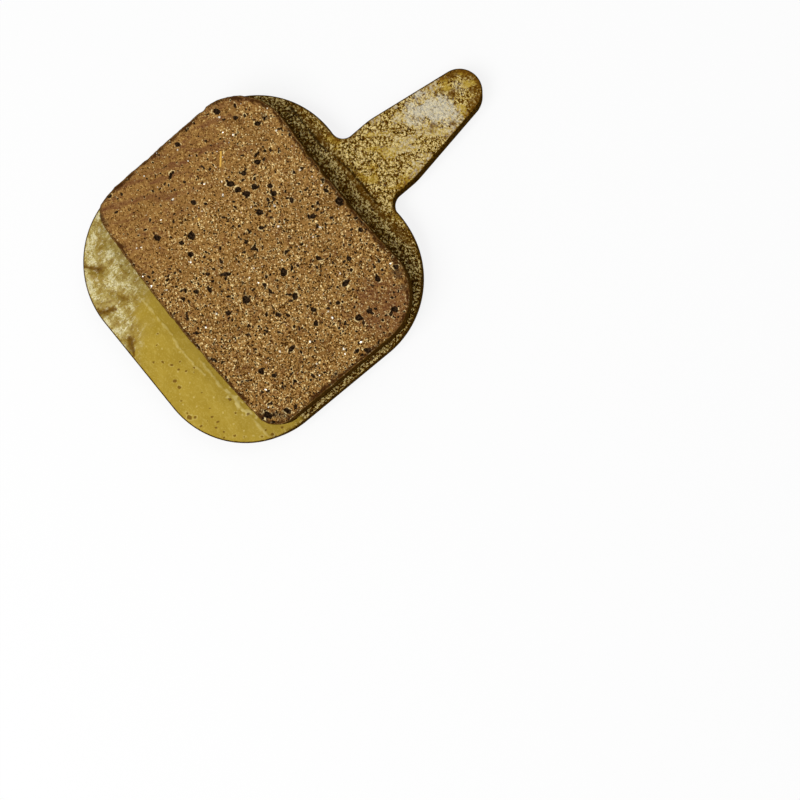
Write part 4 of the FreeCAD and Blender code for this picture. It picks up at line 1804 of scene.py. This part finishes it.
@dataclass
class BackPlate:
    """The stamped plate: a rounded square with a tapered tab, five holes and a worn coat."""

    thickness: float
    width: float
    far_edge: float
    tip: float
    corner: float = 7.85
    shoulder: float = 12.4
    tab_root_width: float = 6.12
    tab_parallel: float = 2.4
    tab_blend: float = 6.0
    tab_tip: float = 1.9
    tab_root_fillet: float = 1.05
    back_roll: float = 0.3
    back_turns: tuple[float, ...] = (22.5, 45.0, 67.5, 90.0)
    front_round: float = 0.15
    front_turns: tuple[float, ...] = (30.0, 60.0)
    wall_rings: int = 5
    step: float = 0.09
    back_step: float = 0.125
    hidden_step: float = 0.7
    hidden_overlap: float = 0.3
    seed: int = 23

    # Relief of the front, which fades out at its edge
    lumps: Texture = Texture(0.36, 2)
    lump_height: float = 0.032
    swell: Texture = Texture(2.0)
    swell_height: float = 0.015
    folds: Texture = Texture(1.1, 2, 30.0)
    fold_height: float = 0.05
    fold_lumps: float = 0.02
    dent_depth: float = 0.1
    ridge_height: float = 0.03
    front_fade: Span = (0.12, 0.4)

    # Relief of the back and its one rubbed spot
    grit: Texture = Texture(0.3, 2)
    grit_height: float = 0.018
    back_fade: Span = (0.3, 0.6)
    back_spots: Marks = (Spot((4.7, -9.6), (1.4, 1.1), 20.0),)
    back_spot: Soft = Soft((0.1, 0.8), ((0.4, CLOUD),))
    back_worn: float = 0.8

    # Painted shade along the edge and the walls
    rim_start: float = 0.06
    rim_width: float = 0.18

    # Grades of the front that the finish reads there alone
    PAINTED: ClassVar[tuple[str, ...]] = ("film", "crinkle", "tone", "contrast", "broad", "stain", "dark_marks_and_shade",
                                          "gloss")

    def outline(self) -> Array:
        """Trace the rounded square and its tab.

        Returns:
            The points of the outline.
        """
        side = self.width / 2
        corner_x = side - self.corner
        corner_y = self.shoulder - self.corner
        tab_side = self.tab_root_width / 2
        root_x = tab_side + self.tab_root_fillet
        root_y = corner_y + math.sqrt((self.corner + self.tab_root_fillet) ** 2 - (corner_x - root_x) ** 2)
        turn = math.degrees(math.atan2(root_y - corner_y, root_x - corner_x))
        taper_y = self.shoulder + self.tab_parallel
        tip_y = self.tip - self.tab_tip
        blend_x = tab_side - self.tab_blend
        reach = (self.tab_blend - self.tab_tip) / math.hypot(blend_x, tip_y - taper_y)
        taper = math.degrees(math.atan2(tip_y - taper_y, -blend_x) - math.acos(reach))
        lean = np.array([math.cos(math.radians(taper)), math.sin(math.radians(taper))])
        taper_start = np.array([blend_x, taper_y]) + lean * self.tab_blend
        taper_end = np.array([0.0, tip_y]) + lean * self.tab_tip
        return closed_outline([
            Straight((0.0, self.far_edge), (corner_x, self.far_edge)),
            Bend((corner_x, self.far_edge + self.corner), self.corner, -90.0, 0.0),
            Straight((side, self.far_edge + self.corner), (side, corner_y)),
            Bend((corner_x, corner_y), self.corner, 0.0, turn),
            Bend((root_x, root_y), self.tab_root_fillet, 180.0 + turn, 180.0),
            Straight((tab_side, root_y), (tab_side, taper_y)),
            Bend((blend_x, taper_y), self.tab_blend, 0.0, taper),
            Straight(tuple(taper_start), tuple(taper_end)),
            Bend((0.0, tip_y), self.tab_tip, taper, 90.0),
        ], self.step)

    def build(self, block: Fence) -> Piece:
        """Mesh the plate with its relief.

        Args:
            block: outline of the friction block, under which the plate needs no detail.

        Returns:
            The object.
        """
        fence = Fence(self.outline())
        shell = Shell()
        back, front = self.build_walls(shell, fence)
        rims, mouths = self.build_holes(shell)
        shell.fill(front, mouths, self.spread_front(shell, front, block), True)
        shell.fill(back, rims, self.spread_back(shell, back), False)
        return shell.to_object("back_plate_coated", self.relieve(shell, fence, block))

    def build_walls(self, shell: Shell, fence: Fence) -> tuple[Array, Array]:
        """Mesh the plate's edge, rolled at the back and rounded at the front.

        Args:
            shell: the shell that grows.
            fence: outline of the plate.

        Returns:
            Indices of the rings on the back and on the front.
        """
        rings = [shell.add(fence.inset(self.back_roll), 0.0, Region.BACK)]
        levels = []
        for angle in np.radians(self.back_turns):
            height = self.back_roll * (1.0 - math.cos(angle))
            levels.append((self.back_roll * (1.0 - math.sin(angle)), height))
        for height in np.linspace(self.back_roll, self.thickness - self.front_round, self.wall_rings)[1:]:
            levels.append((0.0, height))
        for angle in np.radians(self.front_turns):
            height = self.thickness - self.front_round * (1.0 - math.sin(angle))
            levels.append((self.front_round * (1.0 - math.cos(angle)), height))
        rings += [shell.add(fence.inset(inset), height, Region.WALL) for inset, height in levels]
        rings.append(shell.add(fence.inset(self.front_round), self.thickness, Region.FACE))
        shell.strip(rings)
        return rings[0], rings[-1]

    def build_holes(self, shell: Shell) -> tuple[list[Array], list[Array]]:
        """Mesh the walls of the five holes.

        Args:
            shell: the shell that grows.

        Returns:
            The holes' rings on the back and on the front.
        """
        rims = []
        mouths = []
        for key in KEYS:
            middle = np.array(key.centre)
            wide = circle(key.centre, key.radius + KEY_RIM, self.back_step)
            wall = middle + (wide - middle) * key.radius / (key.radius + KEY_RIM)
            rings = [shell.add(wide, 0.0, Region.BACK)]
            rings += [shell.add(wall, height, Region.KEY_WALL) for height in (KEY_RIM, self.thickness)]
            shell.strip(rings, around_hole=True)
            rims.append(rings[0])
            mouths.append(rings[-1])
        return rims, mouths

    def clear_of_holes(self, places: Array, margin: float) -> Array:
        """Drop the places that lie in a hole or close to one.

        Args:
            places: points of the plane.
            margin: how far from a hole they have to be.

        Returns:
            The places that are left.
        """
        for key in KEYS:
            distance = np.linalg.norm(places - np.array(key.centre), axis=1)
            places = places[distance > key.radius + margin]
        return places

    def spread_front(self, shell: Shell, ring: Array, block: Fence) -> Array:
        """Spread points over the front, closely where it shows and widely under the block.

        Args:
            shell: the shell that grows.
            ring: indices of the front's outline.
            block: outline of the friction block.

        Returns:
            Indices of the points.
        """
        fence = Fence(shell.points[ring, :2])
        low, high = fence.loop.min(0), fence.loop.max(0)
        close = scatter(low, high, self.step, self.seed)
        close = close[fence.depth(close) > self.step / 2]
        close = close[block.depth(close) < self.hidden_overlap]
        wide = scatter(low, high, self.hidden_step, self.seed)
        wide = wide[block.depth(wide) > self.hidden_overlap + self.hidden_step / 2]
        wide = self.clear_of_holes(wide, self.hidden_step / 2)
        return shell.add(np.concatenate([close, wide]), self.thickness, Region.FACE)

    def spread_back(self, shell: Shell, ring: Array) -> Array:
        """Spread points over the back.

        Args:
            shell: the shell that grows.
            ring: indices of the back's outline.

        Returns:
            Indices of the points.
        """
        fence = Fence(shell.points[ring, :2])
        places = scatter(fence.loop.min(0), fence.loop.max(0), self.back_step, self.seed + 1)
        places = places[fence.depth(places) > self.back_step / 2]
        places = self.clear_of_holes(places, KEY_RIM + self.back_step / 2)
        return shell.add(places, 0.0, Region.BACK)

    def relieve(self, shell: Shell, fence: Fence, block: Fence) -> Grades:
        """Raise and sink the coat, and grade every point for the finish.

        Args:
            shell: the meshed plate.
            fence: outline of the plate.
            block: outline of the friction block.

        Returns:
            Grades by name.
        """
        on = Surface(shell.points[:, :2], LatticeNoise(self.seed))
        front = shell.regions == Region.FACE
        back = shell.regions == Region.BACK
        depth = fence.depth(shell.points[:, :2])
        reach = np.clip(-block.depth(shell.points[:, :2]), 0.0, None)
        wear_and_light = CoatWearAndLight().grades(on, depth, reach)
        lumps = on.read(self.lumps)
        folds = 1.0 - 2.0 * abs(on.read(self.folds))
        rise = self.lump_height * lumps * (1.0 - wear_and_light["film"])
        rise = rise + self.swell_height * on.read(self.swell) * wear_and_light["film"]
        rise = rise + wear_and_light["crinkle"] * (self.fold_height * folds + self.fold_lumps * lumps)
        rise = rise - self.dent_depth * wear_and_light["dent"] + self.ridge_height * wear_and_light["ridge"]
        shell.points[front, 2] += (rise * ease(depth, self.front_fade))[front]
        grit = self.grit_height * (1.0 + on.read(self.grit))
        shell.points[back, 2] += (grit * ease(depth, self.back_fade))[back]
        worn = self.back_worn * on.marked(self.back_spots, self.back_spot)
        grades = {label: np.where(front, wear_and_light[label], 0.0) for label in self.PAINTED}
        grades["pale"] = np.where(front, wear_and_light["pale"], np.where(back, worn, 0.0))
        grades["back"] = back.astype(float)
        rim = np.exp(-np.clip(depth - self.rim_start, 0.0, None) / self.rim_width)
        grades["rim"] = np.where(back, 0.0, rim)
        return grades


@dataclass
class MetalGrains:
    """Bright metal grains that the grinding has cut open, spread over the friction face by Geometry Nodes."""

    per_square_mm: float = 1.8
    smallest: float = 0.03
    largest: float = 0.14
    rarity: float = 6.0
    flatness: float = 0.2
    lean: float = 0.3
    sunk: float = 0.015
    seed: int = 5

    def inputs(self) -> dict[str, float | int]:
        """Give the values of the tree's inputs by name."""
        return {
            "Density": self.per_square_mm * PER_METRE ** 2,
            "Smallest": self.smallest,
            "Largest": self.largest,
            "Rarity": self.rarity,
            "Flatness": self.flatness,
            "Sunk": self.sunk * MM,
            "Seed": self.seed,
        }

    def tree(self, material: Material) -> Tree:
        """Lay the nodes that spread the grains.

        Args:
            material: finish of the grains.

        Returns:
            The tree.
        """
        tree = bpy.data.node_groups.new("spread_metal_grains", "GeometryNodeTree")
        tree.interface.new_socket("Face", in_out="INPUT", socket_type="NodeSocketGeometry")
        for label, value in self.inputs().items():
            kind = "NodeSocketInt" if isinstance(value, int) else "NodeSocketFloat"
            tree.interface.new_socket(label, in_out="INPUT", socket_type=kind)
        tree.interface.new_socket("Grains", in_out="OUTPUT", socket_type="NodeSocketGeometry")
        graph = Graph(tree)
        given = graph.lay("NodeGroupInput").outputs
        wanted = graph.lay("GeometryNodeInputNamedAttribute", {"Name": "grain_share"}, data_type="FLOAT")
        spread = graph.lay("GeometryNodeDistributePointsOnFaces", {
            "Mesh": given["Face"],
            "Density": graph.times(given["Density"], wanted.outputs["Attribute"]),
            "Seed": given["Seed"],
        })
        ball = graph.lay("GeometryNodeMeshIcoSphere", {"Radius": MM})
        shape = graph.lay("ShaderNodeCombineXYZ", {"X": 1.0, "Y": 1.0, "Z": given["Flatness"]})
        flat = graph.lay("GeometryNodeTransform", {
            "Geometry": ball.outputs["Mesh"],
            "Scale": shape.outputs["Vector"],
        })
        limits = {"Min": (-self.lean, -self.lean, 0.0), "Max": (self.lean, self.lean, 2.0 * math.pi)}
        turn = graph.lay("FunctionNodeRandomValue", limits, data_type="FLOAT_VECTOR")
        # The random node keeps an output for every kind of value: the second one is its number
        chance = graph.lay("FunctionNodeRandomValue", data_type="FLOAT").outputs[1]
        rank = graph.math("POWER", chance, given["Rarity"])
        placed = graph.lay("GeometryNodeInstanceOnPoints", {
            "Points": spread.outputs["Points"],
            "Instance": flat.outputs["Geometry"],
            "Rotation": turn.outputs["Value"],
            "Scale": graph.blend(rank, given["Smallest"], given["Largest"]),
        })
        down = graph.lay("ShaderNodeCombineXYZ", {"Z": graph.times(given["Sunk"], -1.0)})
        lowered = graph.lay("GeometryNodeTranslateInstances", {
            "Instances": placed.outputs["Instances"],
            "Translation": down.outputs["Vector"],
            "Local Space": False,
        })
        toned = graph.lay("GeometryNodeStoreNamedAttribute", {
            "Geometry": lowered.outputs["Instances"],
            "Name": "tone",
            "Value": rank,
        }, domain="INSTANCE", data_type="FLOAT")
        real = graph.lay("GeometryNodeRealizeInstances", {"Geometry": toned.outputs["Geometry"]})
        dressed = graph.lay("GeometryNodeSetMaterial", {
            "Geometry": real.outputs["Geometry"],
            "Material": material,
        })
        graph.lay("NodeGroupOutput", {"Grains": dressed.outputs["Geometry"]})
        return tree

    def build(self, face: Piece, material: Material) -> Piece:
        """Spread the grains and keep them as a plain mesh.

        Args:
            face: the friction block.
            material: finish of the grains.

        Returns:
            The object.
        """
        host = bpy.data.objects.new("grain_host", face.data)
        bpy.context.scene.collection.objects.link(host)
        modifier = host.modifiers.new("spread", "NODES")
        modifier.node_group = self.tree(material)
        sockets = {item.name: item.identifier for item in modifier.node_group.interface.items_tree}
        for label, value in self.inputs().items():
            modifier[sockets[label]] = value
        view = bpy.context.evaluated_depsgraph_get()
        mesh = bpy.data.meshes.new_from_object(host.evaluated_get(view), depsgraph=view)
        mesh.name = "bright_metal_grains"
        bpy.data.objects.remove(host)
        grains = bpy.data.objects.new("bright_metal_grains", mesh)
        bpy.context.scene.collection.objects.link(grains)
        return grains


@dataclass(frozen=True)
class Lamp:
    """A square soft lamp that looks at the pad."""

    name: str
    place: Point
    side: float
    watts: float

    def hang(self) -> None:
        """Hang the lamp."""
        light = bpy.data.lights.new(self.name, "AREA")
        light.energy = self.watts
        light.size = self.side * MM
        lamp = bpy.data.objects.new(self.name, light)
        place = Vector(self.place) * MM
        lamp.matrix_world = Matrix.Translation(place) @ place.to_track_quat("Z", "Y").to_matrix().to_4x4()
        bpy.context.scene.collection.objects.link(lamp)


@dataclass
class Studio:
    """Floor, light and the camera of the photograph."""

    eye: Point = (18.19, 10.68, 80.0)
    right: Point = (0.6314, 0.7697, -0.0934)
    up: Point = (-0.7749, 0.6305, -0.0427)
    back: Point = (0.0260, 0.0994, 0.9947)
    lens: float = 43.2
    nearest: float = 1.0
    floor_half: float = 600.0
    floor_drop: float = 0.01
    floor_glow: float = 0.82
    paper: Colour = (0.9, 0.9, 0.9, 1.0)
    paper_roughness: float = 0.9
    white: Colour = (1.0, 1.0, 1.0, 1.0)
    sky: Grade = Grade(0.0, 1.0, 0.35, 1.0)
    lamps: tuple[Lamp, ...] = (
        Lamp("key_softbox", (20.0, -150.0, 230.0), 180.0, 0.54),
        Lamp("fill_softbox", (-20.0, 150.0, 200.0), 160.0, 0.13),
    )

    def set_camera(self) -> None:
        """Stand the camera where the photograph was taken from."""
        lens = bpy.data.cameras.new("photo_camera")
        lens.lens = self.lens
        lens.clip_start = self.nearest * MM
        camera = bpy.data.objects.new("photo_camera", lens)
        turn = Matrix((self.right, self.up, self.back)).transposed().to_4x4()
        camera.matrix_world = Matrix.Translation(Vector(self.eye) * MM) @ turn
        bpy.context.scene.collection.objects.link(camera)
        bpy.context.scene.camera = camera

    def lay_floor(self) -> None:
        """Lay a white floor that keeps the pad's soft shadow."""
        half = self.floor_half * MM
        drop = -self.floor_drop * MM
        mesh = bpy.data.meshes.new("white_floor")
        corners = [(-half, -half, drop), (half, -half, drop), (half, half, drop), (-half, half, drop)]
        mesh.from_pydata(corners, [], [(0, 1, 2, 3)])
        floor = bpy.data.objects.new("white_floor", mesh)
        bpy.context.scene.collection.objects.link(floor)
        material, graph, shader = new_material("white_paper")
        graph.feed(shader, {"Base Color": self.paper, "Roughness": self.paper_roughness})
        path = graph.lay("ShaderNodeLightPath").outputs
        seen = graph.math("MAXIMUM", path["Is Camera Ray"], path["Is Glossy Ray"])
        seen = graph.math("MAXIMUM", seen, path["Is Transmission Ray"])
        blend = graph.lay("ShaderNodeMixShader", {
            0: graph.times(seen, self.floor_glow),
            1: shader.outputs["BSDF"],
            2: graph.lay("ShaderNodeEmission").outputs["Emission"],
        })
        graph.feed(material.node_tree.nodes["Material Output"], {"Surface": blend.outputs["Shader"]})
        mesh.materials.append(material)

    def light(self) -> None:
        """Light the pad from soft lamps and an even sky."""
        for lamp in self.lamps:
            lamp.hang()
        world = bpy.data.worlds.new("white_studio")
        world.use_nodes = True
        bpy.context.scene.world = world
        graph = Graph(world.node_tree)
        seen = graph.lay("ShaderNodeLightPath").outputs["Is Camera Ray"]
        strength = graph.ease(seen, self.sky)
        graph.feed(world.node_tree.nodes["Background"], {"Color": self.white, "Strength": strength})

    def set_up(self) -> None:
        """Make the whole studio."""
        self.set_camera()
        self.lay_floor()
        self.light()
        bpy.context.scene.view_settings.view_transform = "Standard"


def dress(piece: Piece, material: Material, node: str) -> None:
    """Put a finish on a piece that stands for a solid, and let it ride on the pad.

    Args:
        piece: the piece.
        material: its finish.
        node: the solid that it stands for.
    """
    piece.data.materials.append(material)
    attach(piece, BODY)
    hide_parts(node)
    LOG.info("%s: %d faces", piece.name, len(piece.data.polygons))


def write_sizes() -> None:
    """Bring the placements of the scene up to date."""
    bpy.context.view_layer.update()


def main() -> None:
    """Build the pad and its studio."""
    logging.basicConfig(level=logging.INFO, format="%(name)s: %(message)s")
    plate_low, plate_high = (Vector(corner) * PER_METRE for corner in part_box("back_plate"))
    block_low, block_high = (Vector(corner) * PER_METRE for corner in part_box("friction_block"))
    effects = SharedEffects()
    block = FrictionBlock(base=plate_high.z, top=block_high.z, key_end=block_low.z)
    block_piece = block.build()
    dress(block_piece, FrictionFinish().make(effects), "friction_block")
    grains = MetalGrains().build(block_piece, GrainFinish().make())
    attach(grains, BODY)
    LOG.info("%s: %d faces", grains.name, len(grains.data.polygons))
    plate = BackPlate(thickness=plate_high.z, width=plate_high.x - plate_low.x, far_edge=plate_low.y,
                      tip=plate_high.y)
    plate_piece = plate.build(Fence(block.outline()))
    dress(plate_piece, PlateFinish().make(effects), "back_plate")
    Studio().set_up()
    write_sizes()


if __name__ == "__main__":
    main()
